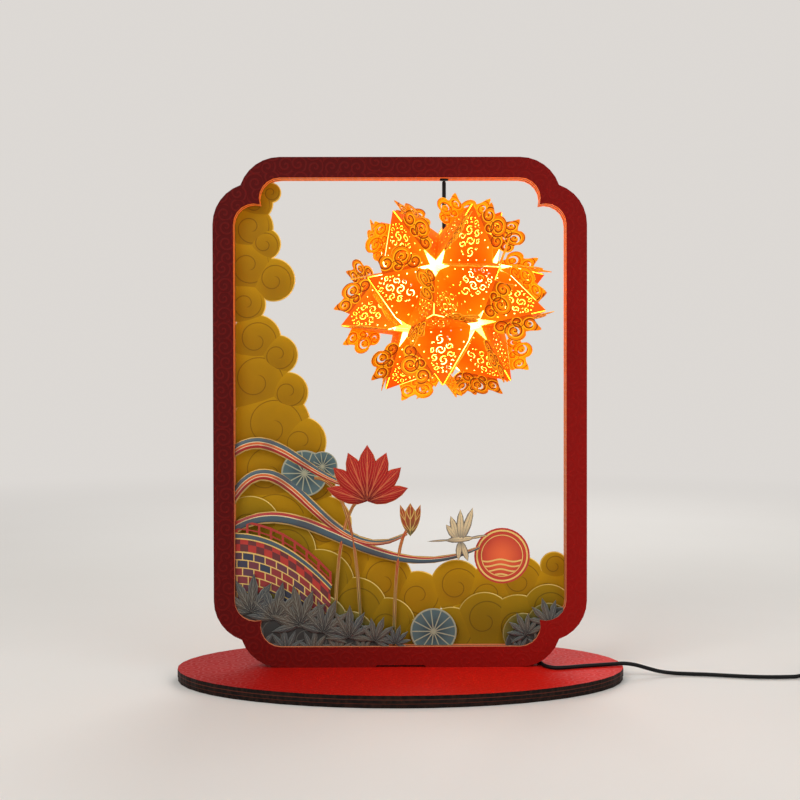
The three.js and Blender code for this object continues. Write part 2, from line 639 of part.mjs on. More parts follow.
function addSheets() {
  const drilled = (solid) => toGeometry(solid.subtract(toSolid(exitHole())));
  piece('sheet_clouds', drilled(pictureSheet('sheet_clouds', CLOUD_SHARES)), cloudPaper);
  piece('sheet_hills', drilled(pictureSheet('sheet_hills', HILL_SHARES)), hillPaper);
  const roundShares = [...MEADOW_SHARES, ...PAD_SHARES];
  const water = pictureSheet('sheet_streamers', roundShares, [...streamers(), ...waterPlants()]);
  piece('sheet_streamers', toGeometry(water), slatePaper);
  piece('sheet_leaves', toGeometry(pictureSheet('sheet_leaves', BUSH_SHARES, sprigs())), leafPaper);

  const [sunX, sunZ, sunRadius] = SUN_SHARES;
  gluedOn('sun_disc', 'sheet_clouds', [disc(windowX(sunX), windowZ(sunZ), windowX(sunRadius))], sunPaper, 16);
  gluedOn('lotus_bloom', 'sheet_streamers', lotusPetals(), crimsonPaper, 5);
  gluedOn('arched_bridge', 'sheet_streamers', bridgeShapes(), sunPaper, 10);
  gluedOn('crane', 'sheet_streamers', craneShapes(), creamPaper, 4);
}

// Paper ball

// Outline of a scroll flap, along its ridge in shares of the ridge's length from the star end, and past
// the ridge in shares of the flap's width.
const FLAP_SHARES = [
  [0.26, 0], [0.205, 0.2], [0.215, 0.43], [0.28, 0.56], [0.34, 0.59], [0.36, 0.82], [0.44, 0.98], [0.54, 0.98],
  [0.605, 0.84], [0.625, 0.68], [0.84, 0.74], [0.8, 0.42], [0.77, 0],
];

// The ball is an icosahedron of star openings with a three-sided point raised on each of its faces.
// A ball piece is folded along one of the thirty edges, and each half is one side of a point.
function ballPiece() {
  const golden = (1 + Math.sqrt(5)) / 2;
  const edge = (2 * STAR_RADIUS) / Math.sqrt(golden * Math.sqrt(5));
  const edgeRadius = (edge * golden) / 2; // to the middle of an edge
  const faceAngle = Math.acos(golden / Math.sqrt(3)); // between an edge's middle and a face's middle
  const rise = new THREE.Vector2(TIP_RADIUS * Math.sin(faceAngle), TIP_RADIUS * Math.cos(faceAngle) - edgeRadius);
  const height = rise.length();
  const half = edge / 2;

  const star = new THREE.Vector2(half, 0);
  const tip = new THREE.Vector2(0, height);
  const ridge = tip.clone().sub(star).normalize(); // along the right ridge, from its star
  const out = new THREE.Vector2(ridge.y, -ridge.x); // away from the sheet
  const ridgeLength = tip.distanceTo(star);
  const onRidge = (along, beyond) => star.clone().addScaledVector(ridge, along).addScaledVector(out, beyond);
  const mirrored = ({ x, y }) => new THREE.Vector2(-x, y);

  const outline = new THREE.Shape();
  const go = (point) => outline.lineTo(point.x, point.y);
  const apexDrop = RIDGE_GAP / (half / ridgeLength);
  outline.moveTo(-half + STAR_NECK, -FOLD_OVERLAP);
  go(new THREE.Vector2(half - STAR_NECK, -FOLD_OVERLAP));
  go(new THREE.Vector2(half - STAR_NECK, 0));
  go(onRidge(STAR_ARM, -RIDGE_GAP));
  for (const [along, beyond] of FLAP_SHARES) {
    go(onRidge(along * ridgeLength, beyond > 0 ? beyond * FLAP_WIDTH : -RIDGE_GAP));
  }
  go(tip.clone().setY(height - apexDrop));
  go(mirrored(onRidge(STAR_ARM, -RIDGE_GAP)));
  go(new THREE.Vector2(-half + STAR_NECK, 0));

  const slope = Math.atan2(rise.y, rise.x);
  const sheet = plate(outline, -PAPER / 2, PAPER / 2, 3).rotateX(slope);
  const halves = [sheet, sheet.clone().rotateZ(Math.PI)];
  return { geometry: joined(...halves), edgeRadius };
}

// The twelve star directions of the ball, one of them straight up.
function starDirections() {
  const ringRadius = 2 / Math.sqrt(5);
  const ringHeight = 1 / Math.sqrt(5);
  const directions = [new THREE.Vector3(0, 0, 1), new THREE.Vector3(0, 0, -1)];
  for (let i = 0; i < 5; i += 1) {
    const angle = (i / 5) * TURN - QUARTER;
    directions.push(new THREE.Vector3(ringRadius * Math.cos(angle), ringRadius * Math.sin(angle), ringHeight));
    directions.push(new THREE.Vector3(-ringRadius * Math.cos(angle), -ringRadius * Math.sin(angle), -ringHeight));
  }
  return directions;
}

function addBall(pendant) {
  const ball = new THREE.Group();
  ball.rotation.set(0, BALL_LEAN, BALL_TURN, 'YXZ');
  pendant.add(ball);
  const { geometry, edgeRadius } = ballPiece();
  const stars = starDirections();
  const nearest = 1 / Math.sqrt(5); // cosine of the angle between neighbouring stars
  const tolerance = 0.01;
  let count = 0;
  stars.forEach((a, i) => {
    for (const b of stars.slice(i + 1)) {
      if (Math.abs(a.dot(b) - nearest) > tolerance) continue;
      const along = b.clone().sub(a).normalize();
      const outward = a.clone().add(b).normalize();
      const across = outward.clone().cross(along);
      count += 1;
      const mesh = piece(`ball_piece_${String(count).padStart(2, '0')}`, geometry, lampPaper, ball);
      mesh.quaternion.setFromRotationMatrix(new THREE.Matrix4().makeBasis(along, across, outward));
      mesh.position.copy(outward).multiplyScalar(edgeRadius);
    }
  });
}

function addPendant() {
  const pendant = new THREE.Group();
  pendant.position.copy(BALL_CENTRE);
  lamp.add(pendant);
  addBall(pendant);

  const boreTop = HOLDER_MOUTH + CAP_SEAT + FIT_GAP;
  const boreRadius = CAP_RADIUS + FIT_GAP;
  piece('lampholder', turned([
    [0, boreTop], [boreRadius, boreTop], [boreRadius, HOLDER_MOUTH], [HOLDER_RADIUS, HOLDER_MOUTH],
    [HOLDER_RADIUS, HOLDER_SHOULDER], [HOLDER_NECK_RADIUS, HOLDER_TOP], [0, HOLDER_TOP],
  ], 18), blackPlastic, pendant);

  const capTop = HOLDER_MOUTH + CAP_SEAT;
  const capFoot = capTop - CAP_HEIGHT;
  piece('bulb_cap', turned([[0, capFoot], [CAP_RADIUS, capFoot], [CAP_RADIUS, capTop], [0, capTop]], 16), capBrass, pendant);

  const neckAngle = Math.asin(CAP_RADIUS / BULB_RADIUS);
  const bulbMiddle = capFoot - FIT_GAP - BULB_RADIUS * Math.cos(neckAngle);
  const steps = 6;
  const arc = (radius) => Array.from({ length: steps + 1 }, (_, i) => {
    const angle = (i / steps) * (Math.PI - neckAngle);
    return [radius * Math.sin(angle), bulbMiddle - radius * Math.cos(angle)];
  });
  const profile = [...arc(BULB_RADIUS), ...arc(BULB_RADIUS - BULB_WALL).toReversed()];
  piece('bulb_globe', turned(profile, 14), frostedGlass, pendant);

  // The cable hangs from the top bar. Both its ends are domes, where it turns against its neighbours.
  const flexTop = RIM - GROMMET_FLANGE - FIT_GAP - CABLE_RADIUS;
  const flexFoot = BALL_CENTRE.z + HOLDER_TOP + FIT_GAP + CABLE_RADIUS;
  const hanging = new THREE.CapsuleGeometry(CABLE_RADIUS, flexTop - flexFoot, 3, 10).rotateX(QUARTER);
  piece('hanging_cable', hanging, blackRubber).position.set(CABLE_X, 0, (flexTop + flexFoot) / 2);

  const sleeve = (CHANNEL_WIDTH - FIT_GAP) / 2;
  piece('cable_grommet', turned([
    [0, -GROMMET_FLANGE], [GROMMET_RADIUS, -GROMMET_FLANGE], [GROMMET_RADIUS, 0], [sleeve, 0],
    [sleeve, GROMMET_DEPTH], [0, GROMMET_DEPTH],
  ], 16), blackRubber).position.set(CABLE_X, 0, RIM);
}

// Supply cord

// The lead's route by hand, from the bush at the back of the frame to the switch. It drops to the base,
// passes under the frame's stepped corner to the front, and runs off the base's edge to the table.
const LEAD_ROUTE = [
  [84, 16.8, 17], [84, 22, 16.6], [85.4, 26.6, 14.2], [89, 29, 11.4], [94.5, 27.8, 10.6], [99.6, 22.6, 10.6],
  [105, 15.4, 10.6], [108.6, 7.6, 10.6], [110, -1, 10.6], [112.6, -11.4, 10.6], [119, -16.6, 10.6],
  [128, -15.4, 10.6], [140, -11.6, 10.6], [154, -8, 10.6], [166, -5.6, 10.7], [174, -4.3, 10.8], [183, -2.8, 9.4],
  [193, -1.4, 6.4], [203, -0.6, 3.6], [214, -0.3, 2.1], [226, -0.8, 1.6], [238, -2.6, 1.6], [252, -5.8, 1.6],
  [268, -9.4, 1.6], [284, -11.4, 1.6], [299, -11.2, 1.6], [308, -10.4, 1.8], [315, -10, 3.4], [320.6, -10, 5.1],
  [323, -10, 5.5], [325.7, -10, 5.5],
];

const LEAD_STEP = 2.6 * CABLE_DIAMETER; // from ring to ring of the tube

// A frame of another width moves the exit. The lead's start goes with it, and this stretch takes it up.
const LEAD_FREE_FROM = 128;
const LEAD_FREE_TO = 166;

function leadPoints() {
  const shift = EXIT_X - LEAD_ROUTE[0][0];
  return LEAD_ROUTE.map(([x, y, z]) => {
    const held = THREE.MathUtils.clamp((LEAD_FREE_TO - x) / (LEAD_FREE_TO - LEAD_FREE_FROM), 0, 1);
    return new THREE.Vector3(x + shift * held, y, z);
  });
}

function addLead() {
  const curve = new THREE.CatmullRomCurve3(leadPoints(), false, 'centripetal');
  const section = new THREE.Shape();
  const sides = 8;
  for (let i = 0; i < sides; i += 1) {
    const angle = ((i + 0.5) / sides) * TURN;
    section.lineTo(CABLE_RADIUS * Math.cos(angle), CABLE_RADIUS * Math.sin(angle));
  }
  const steps = Math.round(curve.getLength() / LEAD_STEP);
  const geometry = new THREE.ExtrudeGeometry(section, { extrudePath: curve, steps, bevelEnabled: false });
  piece('cord_lead', geometry, blackRubber);
  console.log(`lead ${curve.getLength().toFixed(1)} mm in ${steps} steps`);
}

function addStrainRelief() {
  const back = STACK.frame_back_board.back;
  const inner = STACK.frame_core.back + FIT_GAP / 2;
  const bush = EXIT_BORE - FIT_GAP;
  const profile = [
    [0, inner], [bush, inner], [bush, back], [RELIEF_FLANGE_RADIUS, back], [RELIEF_FLANGE_RADIUS, back + RELIEF_FLANGE],
    [bush, back + RELIEF_FLANGE], [RELIEF_TAIL_RADIUS, back + RELIEF_TAIL], [0, back + RELIEF_TAIL],
  ];
  const points = profile.map(([radius, y]) => new THREE.Vector2(radius, y));
  const relief = piece('strain_relief', new THREE.LatheGeometry(points, 16), blackRubber);
  relief.position.set(EXIT_X, 0, EXIT_Z);
}

function addSwitch() {
  const middle = SWITCH_X + SWITCH_LENGTH / 2;
  const shape = new THREE.Shape();
  const radius = SWITCH_WIDTH / 2;
  const run = SWITCH_LENGTH / 2 - radius - SWITCH_CHAMFER;
  shape.absarc(middle + run, SWITCH_Y, radius - SWITCH_CHAMFER, -QUARTER, QUARTER);
  shape.absarc(middle - run, SWITCH_Y, radius - SWITCH_CHAMFER, QUARTER, 3 * QUARTER);
  const shell = new THREE.ExtrudeGeometry(shape, {
    depth: SWITCH_HEIGHT - 2 * SWITCH_CHAMFER, bevelSize: SWITCH_CHAMFER, bevelThickness: SWITCH_CHAMFER,
    bevelSegments: 1, curveSegments: 4,
  }).translate(0, 0, SWITCH_CHAMFER);
  const nozzle = new THREE.CylinderGeometry(CABLE_DIAMETER, CABLE_DIAMETER, SWITCH_LENGTH, 12)
    .rotateZ(QUARTER).translate(middle, SWITCH_Y, CORD_HEIGHT);
  const wellFloor = SWITCH_HEIGHT - BUTTON_DEPTH - BUTTON_TRAVEL - FIT_GAP;
  const well = new THREE.CylinderGeometry(BUTTON_RADIUS + FIT_GAP, BUTTON_RADIUS + FIT_GAP, SWITCH_HEIGHT, 24)
    .rotateX(QUARTER).translate(middle, SWITCH_Y, wellFloor + SWITCH_HEIGHT / 2);
  const body = toSolid(shell).add(toSolid(nozzle)).subtract(toSolid(well));
  piece('switch_body', toGeometry(body), blackPlastic);

  const dome = BUTTON_PROUD / 3;
  const profile = [
    [0, -BUTTON_DEPTH], [BUTTON_RADIUS, -BUTTON_DEPTH], [BUTTON_RADIUS, BUTTON_PROUD - dome],
    [BUTTON_RADIUS - dome, BUTTON_PROUD], [0, BUTTON_PROUD],
  ];
  piece('switch_button', turned(profile, 24), buttonPlastic).position.set(middle, SWITCH_Y, SWITCH_HEIGHT);
}

// The coil is one tube: in from the switch, four loops inwards, a climb, and out again above them.
function coilPoints() {
  const points = [];
  const smooth = (share) => share * share * (3 - 2 * share);
  const bendX = COIL_START_X - COIL_LEAD_BEND;
  points.push(new THREE.Vector3(SWITCH_X + SWITCH_LENGTH + FIT_GAP, SWITCH_Y, CORD_HEIGHT));
  const leadSteps = 6;
  const leadDrop = CORD_HEIGHT - COIL_FLOOR;
  const straight = SWITCH_Y - COIL_LEAD_BEND - COIL_Y;
  for (let i = 0; i <= leadSteps; i += 1) {
    const angle = (i / leadSteps) * QUARTER;
    const z = CORD_HEIGHT - leadDrop * smooth(i / leadSteps / 2);
    points.push(new THREE.Vector3(
      bendX + COIL_LEAD_BEND * Math.sin(angle), SWITCH_Y - COIL_LEAD_BEND * (1 - Math.cos(angle)), z,
    ));
  }
  for (let i = 1; i < leadSteps; i += 1) {
    const z = CORD_HEIGHT - leadDrop * smooth((1 + i / leadSteps) / 2);
    points.push(new THREE.Vector3(COIL_START_X, SWITCH_Y - COIL_LEAD_BEND - (straight * i) / leadSteps, z));
  }
  const turns = COIL_LOOPS_IN + COIL_LOOPS_CLIMB + COIL_LOOPS_OUT;
  for (let i = 0; i <= turns * COIL_STEPS; i += 1) {
    const turn = i / COIL_STEPS;
    const climb = THREE.MathUtils.clamp((turn - COIL_LOOPS_IN) / COIL_LOOPS_CLIMB, 0, 1);
    const inward = Math.max(COIL_LOOPS_IN - turn, 0);
    const outward = Math.max(turn - COIL_LOOPS_IN - COIL_LOOPS_CLIMB, 0);
    const radius = COIL_INNER_RADIUS + (inward + outward) * COIL_PITCH;
    const angle = -turn * TURN;
    points.push(new THREE.Vector3(
      COIL_X + radius * Math.cos(angle), COIL_Y + radius * Math.sin(angle), COIL_FLOOR + COIL_LAYER * smooth(climb),
    ));
  }
  const tailTop = COIL_FLOOR + COIL_LAYER;
  const tailShares = [0.4, 0.6, 0.75, 0.9];
  const [dropFrom, dropTo] = [tailShares[0], tailShares.at(-1)];
  for (const share of tailShares) {
    const drop = smooth((share - dropFrom) / (dropTo - dropFrom));
    points.push(new THREE.Vector3(COIL_X - share * COIL_TAIL, PLUG_Y, tailTop + (PLUG_Z - tailTop) * drop));
  }
  points.push(new THREE.Vector3(PLUG_X + FIT_GAP, PLUG_Y, PLUG_Z));
  return points;
}

// The least gap of a tube to itself, between points that are more than a few diameters apart along it.
function leastGap(points, diameter) {
  const along = [0];
  for (let i = 1; i < points.length; i += 1) along.push(along[i - 1] + points[i].distanceTo(points[i - 1]));
  let least = Infinity;
  const segment = new THREE.Line3();
  const near = new THREE.Vector3();
  for (let i = 0; i < points.length; i += 1) {
    for (let j = 0; j < points.length - 1; j += 1) {
      if (Math.min(Math.abs(along[i] - along[j]), Math.abs(along[i] - along[j + 1])) < 4 * diameter) continue;
      segment.set(points[j], points[j + 1]).closestPointToPoint(points[i], true, near);
      least = Math.min(least, near.distanceTo(points[i]) - diameter);
    }
  }
  return { least, length: along.at(-1) };
}

function addCoil() {
  const points = coilPoints();
  piece('cord_coil', tube(points, CABLE_RADIUS, 6), blackRubber);
  const { least, length } = leastGap(points, CABLE_DIAMETER);
  console.log(`coil ${length.toFixed(1)} mm, least gap to itself ${least.toFixed(2)} mm`);

  // The tie goes round the bundle on the coil's far side.
  const bundle = [COIL_END_RADIUS - COIL_LOOPS_OUT * COIL_PITCH, COIL_OUTER_RADIUS].map((radius) => COIL_Y + radius);
  const inside = { from: bundle[0] - CABLE_RADIUS - FIT_GAP, to: bundle[1] + CABLE_RADIUS + FIT_GAP };
  const top = COIL_FLOOR + COIL_LAYER + CABLE_RADIUS + FIT_GAP;
  const middleY = (inside.from + inside.to) / 2;
  const middleZ = (TIE_THICKNESS + top) / 2;
  const band = rectangle(inside.to - inside.from + 2 * TIE_THICKNESS, top + TIE_THICKNESS, middleY, middleZ);
  band.holes.push(rectangle(inside.to - inside.from, top - TIE_THICKNESS, middleY, middleZ));
  piece('cord_tie', alongX(plate(band, -TIE_WIDTH / 2, TIE_WIDTH / 2)).translate(COIL_X, 0, 0), blackRubber);
}

function addPlug() {
  const block = (length, width, height, chamfer) => new THREE.ExtrudeGeometry(
    rectangle(width - 2 * chamfer, height - 2 * chamfer, 0, 0),
    { depth: length - 2 * chamfer, bevelSize: chamfer, bevelThickness: chamfer, bevelSegments: 1 },
  ).translate(0, 0, chamfer);
  const place = (geometry, x) => alongX(geometry).translate(x, PLUG_Y, PLUG_Z);
  const gripEnd = PLUG_X - PLUG_LENGTH;
  piece('plug_grip', place(block(PLUG_LENGTH, PLUG_WIDTH, PLUG_HEIGHT, PLUG_CHAMFER), gripEnd), blackPlastic);

  const shell = rectangle(SHELL_WIDTH, SHELL_HEIGHT, 0, 0);
  shell.holes.push(rectangle(SHELL_WIDTH - 2 * SHELL_WALL, SHELL_HEIGHT - 2 * SHELL_WALL, 0, 0));
  piece('plug_shell', place(plate(shell, 0, SHELL_LENGTH), gripEnd - SHELL_LENGTH), plugSteel);
}

addBase();
addFrame();
addSheets();
addPendant();
addStrainRelief();
addLead();
addSwitch();
addCoil();
addPlug();

export default lamp;
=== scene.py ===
# %% [markdown]
# # A paper sculpture lamp
#
# This notebook dresses a finished CAD model. The lamp is a red board frame on an oval base, with layers
# of cut paper in its window and a folded paper ball round a small bulb. The CAD solids arrive as a fixed
# frame. Boards keep their solids and get a material, and every printed or folded paper gets a mesh.

# %% Load the frame
import math
import random

import bmesh
import bpy
from mathutils import Matrix, Vector


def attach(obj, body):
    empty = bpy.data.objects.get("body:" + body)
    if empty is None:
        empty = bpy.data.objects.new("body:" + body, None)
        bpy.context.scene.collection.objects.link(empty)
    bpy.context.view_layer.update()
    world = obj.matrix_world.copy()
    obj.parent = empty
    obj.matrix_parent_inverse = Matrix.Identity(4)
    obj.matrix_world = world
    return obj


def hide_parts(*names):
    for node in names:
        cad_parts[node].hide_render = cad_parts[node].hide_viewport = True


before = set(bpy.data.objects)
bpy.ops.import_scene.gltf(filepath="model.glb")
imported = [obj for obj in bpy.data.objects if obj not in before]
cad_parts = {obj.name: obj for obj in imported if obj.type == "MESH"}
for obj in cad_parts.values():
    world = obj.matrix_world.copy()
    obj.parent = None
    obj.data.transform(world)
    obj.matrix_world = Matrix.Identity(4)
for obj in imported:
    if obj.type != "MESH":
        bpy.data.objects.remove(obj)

MM = 0.001
TURN = 2 * math.pi
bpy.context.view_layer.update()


# %% [markdown]
# ## Camera
#
# A camera that stands lower than the top of an object and looks nearly level keeps upright edges upright,
# as the photograph does. Its place was fitted to the corners of the frame and the oval of the base, so
# the picture can be compared with the photograph edge by edge.

# %% Camera
CAMERA_PLACE = Vector((-4.79, -900, 227.78)) * MM
CAMERA_TILT, CAMERA_SWING, CAMERA_ROLL = -0.0122, -0.0052, -0.0017  # in radians
LENS, SENSOR = 51.8, 36

camera_data = bpy.data.cameras.new("camera")
camera_data.lens = LENS
camera_data.sensor_width = SENSOR
camera = bpy.data.objects.new("camera", camera_data)
bpy.context.collection.objects.link(camera)
swung = Matrix.Rotation(CAMERA_SWING, 4, "Z")
tilted = Matrix.Rotation(math.pi / 2 + CAMERA_TILT, 4, "X")
rolled = Matrix.Rotation(CAMERA_ROLL, 4, "Z")
camera.matrix_world = Matrix.Translation(CAMERA_PLACE) @ (swung @ tilted @ rolled)
bpy.context.scene.camera = camera
print(f"camera {-CAMERA_PLACE.y:.2f} m in front, lens {LENS} mm")


# %% [markdown]
# ## Smooth routes
#
# A cord bends in one smooth curve, and so do the edges of cut paper. Blender's own curves could be used,
# but their points would then differ from those of the CAD route. Here a Catmull-Rom curve is worked out
# point by point, with the same formula as in the CAD source, so a dressed cord lies where its solid lies.

# %% Smooth routes
def smooth_route(points, per_span):
    """A centripetal Catmull-Rom curve through points, with per_span steps between neighbours."""
    places = [Vector(point) for point in points]
    places = [2 * places[0] - places[1], *places, 2 * places[-1] - places[-2]]
    line = []
    for p0, p1, p2, p3 in zip(places, places[1:], places[2:], places[3:]):
        d0, d1, d2 = (p1 - p0).length ** 0.5, (p2 - p1).length ** 0.5, (p3 - p2).length ** 0.5
        start = ((p1 - p0) / d0 - (p2 - p0) / (d0 + d1) + (p2 - p1) / d1) * d1
        end = ((p2 - p1) / d1 - (p3 - p1) / (d1 + d2) + (p3 - p2) / d2) * d1
        for i in range(per_span):
            t = i / per_span
            line.append(
                (2 * t**3 - 3 * t**2 + 1) * p1 + (t**3 - 2 * t**2 + t) * start
                + (3 * t**2 - 2 * t**3) * p2 + (t**3 - t**2) * end)
    return [*line, places[-2]]


def route_length(points):
    return sum((b - a).length for a, b in zip(points, points[1:]))


# %% [markdown]
# ## Rubber tubes
#
# The cord is round rubber. A curve with a bevel would do for its look, but a mesh tube has the same
# cross-section at every bend. Each ring stands square to the route, and its first corner is carried on
# from the ring before, so the tube never twists.

# %% Rubber tubes
def add_mesh(name, source):
    """Makes an object of a bmesh and puts it in the scene."""
    data = bpy.data.meshes.new(name)
    source.to_mesh(data)
    source.free()
    piece = bpy.data.objects.new(name, data)
    bpy.context.collection.objects.link(piece)
    return piece


def tube_mesh(name, points, radius, sides):
    """A closed tube along points, with a smooth surface and flat ends."""
    mesh = bmesh.new()
    angles = [TURN * side / sides for side in range(sides)]
    last = len(points) - 1
    across, rings = Vector((0, 0, 1)), []
    for i, point in enumerate(points):
        along = (points[min(i + 1, last)] - points[max(i - 1, 0)]).normalized()
        across = (across - along * across.dot(along)).normalized()
        beside = along.cross(across)
        rings.append([
            mesh.verts.new(point + radius * (across * math.cos(a) + beside * math.sin(a))) for a in angles])
    for low, high in zip(rings, rings[1:]):
        for side in range(sides):
            after = (side + 1) % sides
            mesh.faces.new((low[side], low[after], high[after], high[side])).smooth = True
    mesh.faces.new(rings[0][::-1])
    mesh.faces.new(rings[-1])
    return add_mesh(name, mesh)


# %% [markdown]
# ## Supply cord
#
# The cord is 3 mm thick and 1.2 m long. It leaves a rubber bush at the back of the frame, passes under
# the stepped corner and runs off the base to an inline switch. A simulation could let it fall, but then
# it would lie elsewhere than the CAD cord. So its places are listed and are those of the CAD source.

# %% Supply cord
CORD_THICK = 3
CORD_DIAMETER = CORD_THICK * MM
CORD_SIDES = 12
LEAD_STEPS = 5
LEAD_ROUTE = [
    (84, 16.8, 17), (84, 22, 16.6), (85.4, 26.6, 14.2), (89, 29, 11.4), (94.5, 27.8, 10.6),
    (99.6, 22.6, 10.6), (105, 15.4, 10.6), (108.6, 7.6, 10.6), (110, -1, 10.6), (112.6, -11.4, 10.6),
    (119, -16.6, 10.6), (128, -15.4, 10.6), (140, -11.6, 10.6), (154, -8, 10.6), (166, -5.6, 10.7),
    (174, -4.3, 10.8), (183, -2.8, 9.4), (193, -1.4, 6.4), (203, -0.6, 3.6), (214, -0.3, 2.1),
    (226, -0.8, 1.6), (238, -2.6, 1.6), (252, -5.8, 1.6), (268, -9.4, 1.6), (284, -11.4, 1.6),
    (299, -11.2, 1.6), (308, -10.4, 1.8), (315, -10, 3.4), (320.6, -10, 5.1), (323, -10, 5.5),
    (325.7, -10, 5.5),
]


def lay_cord(name, route, solid):
    points = [point * MM for point in route]
    cord = tube_mesh(name, points, CORD_DIAMETER / 2, CORD_SIDES)
    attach(cord, "stand")
    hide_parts(solid)
    tuple(points[0])
    route_length(points)
    [tuple(point) for point in points]
    print(f"{name}: {route_length(points) / MM:.1f} mm")
    return cord


lead = lay_cord(
    "cord_lead_rubber", smooth_route(LEAD_ROUTE, LEAD_STEPS), "cord_lead")

# %% [markdown]
# ## The coil
#
# What the photograph doesn't show of the cord is put away beside the switch. It could be drawn point by
# point, but a coil is a formula: four loops inwards, a climb of one layer, and back outwards on top of
# them. The numbers are those of the CAD source, in mm, as it can't be read from here.

# %% Coil numbers
SWITCH_X, SWITCH_LENGTH, SWITCH_Y = 326, 44, -10
CORD_HEIGHT, END_GAP = 5.5, 0.3
COIL_INNER_RADIUS, COIL_PITCH, COIL_LAYER = 8.5, 4.2, 3.6
COIL_LOOPS_IN, COIL_LOOPS_CLIMB, COIL_LOOPS_OUT = 4, 0.5, 3.75
COIL_STEPS, BEND_STEPS = 48, 12
COIL_LEAD_BEND, COIL_FLOOR = 11, 2.2
COIL_START_X = SWITCH_X + SWITCH_LENGTH + CORD_THICK + COIL_LEAD_BEND
COIL_X = COIL_START_X - COIL_INNER_RADIUS - COIL_LOOPS_IN * COIL_PITCH
COIL_Y, COIL_TAIL = -50, 22
COIL_TAIL_SHARES = [0.4, 0.6, 0.75, 0.9]
PLUG_Z = 3.8


# %% [markdown]
# The route has three stretches. The first turns off the end of the switch and sinks to the floor, the
# second winds in and out, and the third rises a little into the plug. Heights ease from one level to the
# next, because rubber doesn't kink.

# %% Coil route
def ease(share):
    """0 to 1 with a level start and end."""
    return share * share * (3 - 2 * share)


def lead_in():
    """A quarter turn off the switch and a straight run to the first loop, sinking on the way."""
    drop = CORD_HEIGHT - COIL_FLOOR
    points = [Vector((SWITCH_X + SWITCH_LENGTH + END_GAP, SWITCH_Y, CORD_HEIGHT))]
    for i in range(BEND_STEPS + 1):
        angle = TURN / 4 * i / BEND_STEPS
        x = COIL_START_X - COIL_LEAD_BEND * (1 - math.sin(angle))
        y = SWITCH_Y - COIL_LEAD_BEND * (1 - math.cos(angle))
        points.append(Vector((x, y, CORD_HEIGHT - drop * ease(i / BEND_STEPS / 2))))
    straight = SWITCH_Y - COIL_LEAD_BEND - COIL_Y
    for i in range(1, BEND_STEPS):
        y = SWITCH_Y - COIL_LEAD_BEND - straight * i / BEND_STEPS
        points.append(Vector((COIL_START_X, y, CORD_HEIGHT - drop * ease((1 + i / BEND_STEPS) / 2))))
    return points


def loops():
    """In, up one layer, and out again."""
    points = []
    for i in range(int((COIL_LOOPS_IN + COIL_LOOPS_CLIMB + COIL_LOOPS_OUT) * COIL_STEPS) + 1):
        turn = i / COIL_STEPS
        climb = min(max((turn - COIL_LOOPS_IN) / COIL_LOOPS_CLIMB, 0), 1)
        from_inside = max(COIL_LOOPS_IN - turn, 0) + max(turn - COIL_LOOPS_IN - COIL_LOOPS_CLIMB, 0)
        radius = COIL_INNER_RADIUS + from_inside * COIL_PITCH
        x = COIL_X + radius * math.cos(-turn * TURN)
        y = COIL_Y + radius * math.sin(-turn * TURN)
        points.append(Vector((x, y, COIL_FLOOR + COIL_LAYER * ease(climb))))
    return points


def tail(end):
    """From the last loop into the plug."""
    points = []
    first, last = COIL_TAIL_SHARES[0], COIL_TAIL_SHARES[-1]
    for share in COIL_TAIL_SHARES:
        z = end.z + (PLUG_Z - end.z) * ease((share - first) / (last - first))
        points.append(Vector((COIL_X - share * COIL_TAIL, end.y, z)))
    return [*points, Vector((COIL_X - COIL_TAIL + END_GAP, end.y, PLUG_Z))]


wound_loops = loops()
coil = lay_cord(
    "cord_coil_rubber", lead_in() + wound_loops + tail(wound_loops[-1]), "cord_coil")


# %% [markdown]
# ## Wires between nodes
#
# A material is a small tree of nodes. Written out one link at a time, it fills pages and no formula can
# be read in it. So a node's output is wrapped as a wire, and wires can be added, multiplied and compared
# like numbers. Every sign in a formula adds one Math node to the tree.

# %% Wires
class Wire:
    """The output of a node. The signs + - * / < > and abs() make Math nodes."""

    def __init__(self, socket):
        self.socket, self.tree = socket, socket.id_data

    def __add__(self, other):
        return calc("ADD", self, other)

    def __sub__(self, other):
        return calc("SUBTRACT", self, other)

    def __rsub__(self, other):
        return calc("SUBTRACT", other, self)

    def __mul__(self, other):
        return calc("MULTIPLY", self, other)

    def __truediv__(self, other):
        return calc("DIVIDE", self, other)

    def __rtruediv__(self, other):
        return calc("DIVIDE", other, self)

    def __lt__(self, other):
        return calc("LESS_THAN", self, other)

    def __gt__(self, other):
        return calc("GREATER_THAN", self, other)

    def __abs__(self):
        return calc("ABSOLUTE", self)


def fill(socket, value):
    """Links a socket to a wire, or sets its value."""
    if isinstance(value, Wire):
        value.tree.links.new(value.socket, socket)
    else:
        socket.default_value = value


def node(tree, kind, sockets=None, **settings):
    """Adds a node, sets it up and fills its sockets."""
    made = tree.nodes.new(kind)
    for key, value in settings.items():
        setattr(made, key, value)
    for key, value in (sockets or {}).items():
        fill(made.inputs[key], value)
    return made


def tree_of(values):
    """The tree that the first wire among values belongs to."""
    return next(value.tree for value in values if isinstance(value, Wire))


def calc(operation, *values, clamp=False):
    """One Math node."""
    sockets = dict(enumerate(values))
    made = node(tree_of(values), "ShaderNodeMath", sockets, operation=operation, use_clamp=clamp)
    return Wire(made.outputs[0])


# %% [markdown]
# A few more words make up the rest of the language: a soft step, a mix of two colours, the three axes of
# a vector, a noise. Most are one node with its sockets filled, and each is named for what it does.

# %% Words for surfaces
BLACK = (0, 0, 0, 1)


def colour(red, green, blue):
    """A colour as seen on screen, 0 to 255, as the linear values that nodes take."""
    def linear(value):
        value /= 255
        return value / 12.92 if value <= 0.04045 else ((value + 0.055) / 1.055) ** 2.4
    return (linear(red), linear(green), linear(blue), 1)


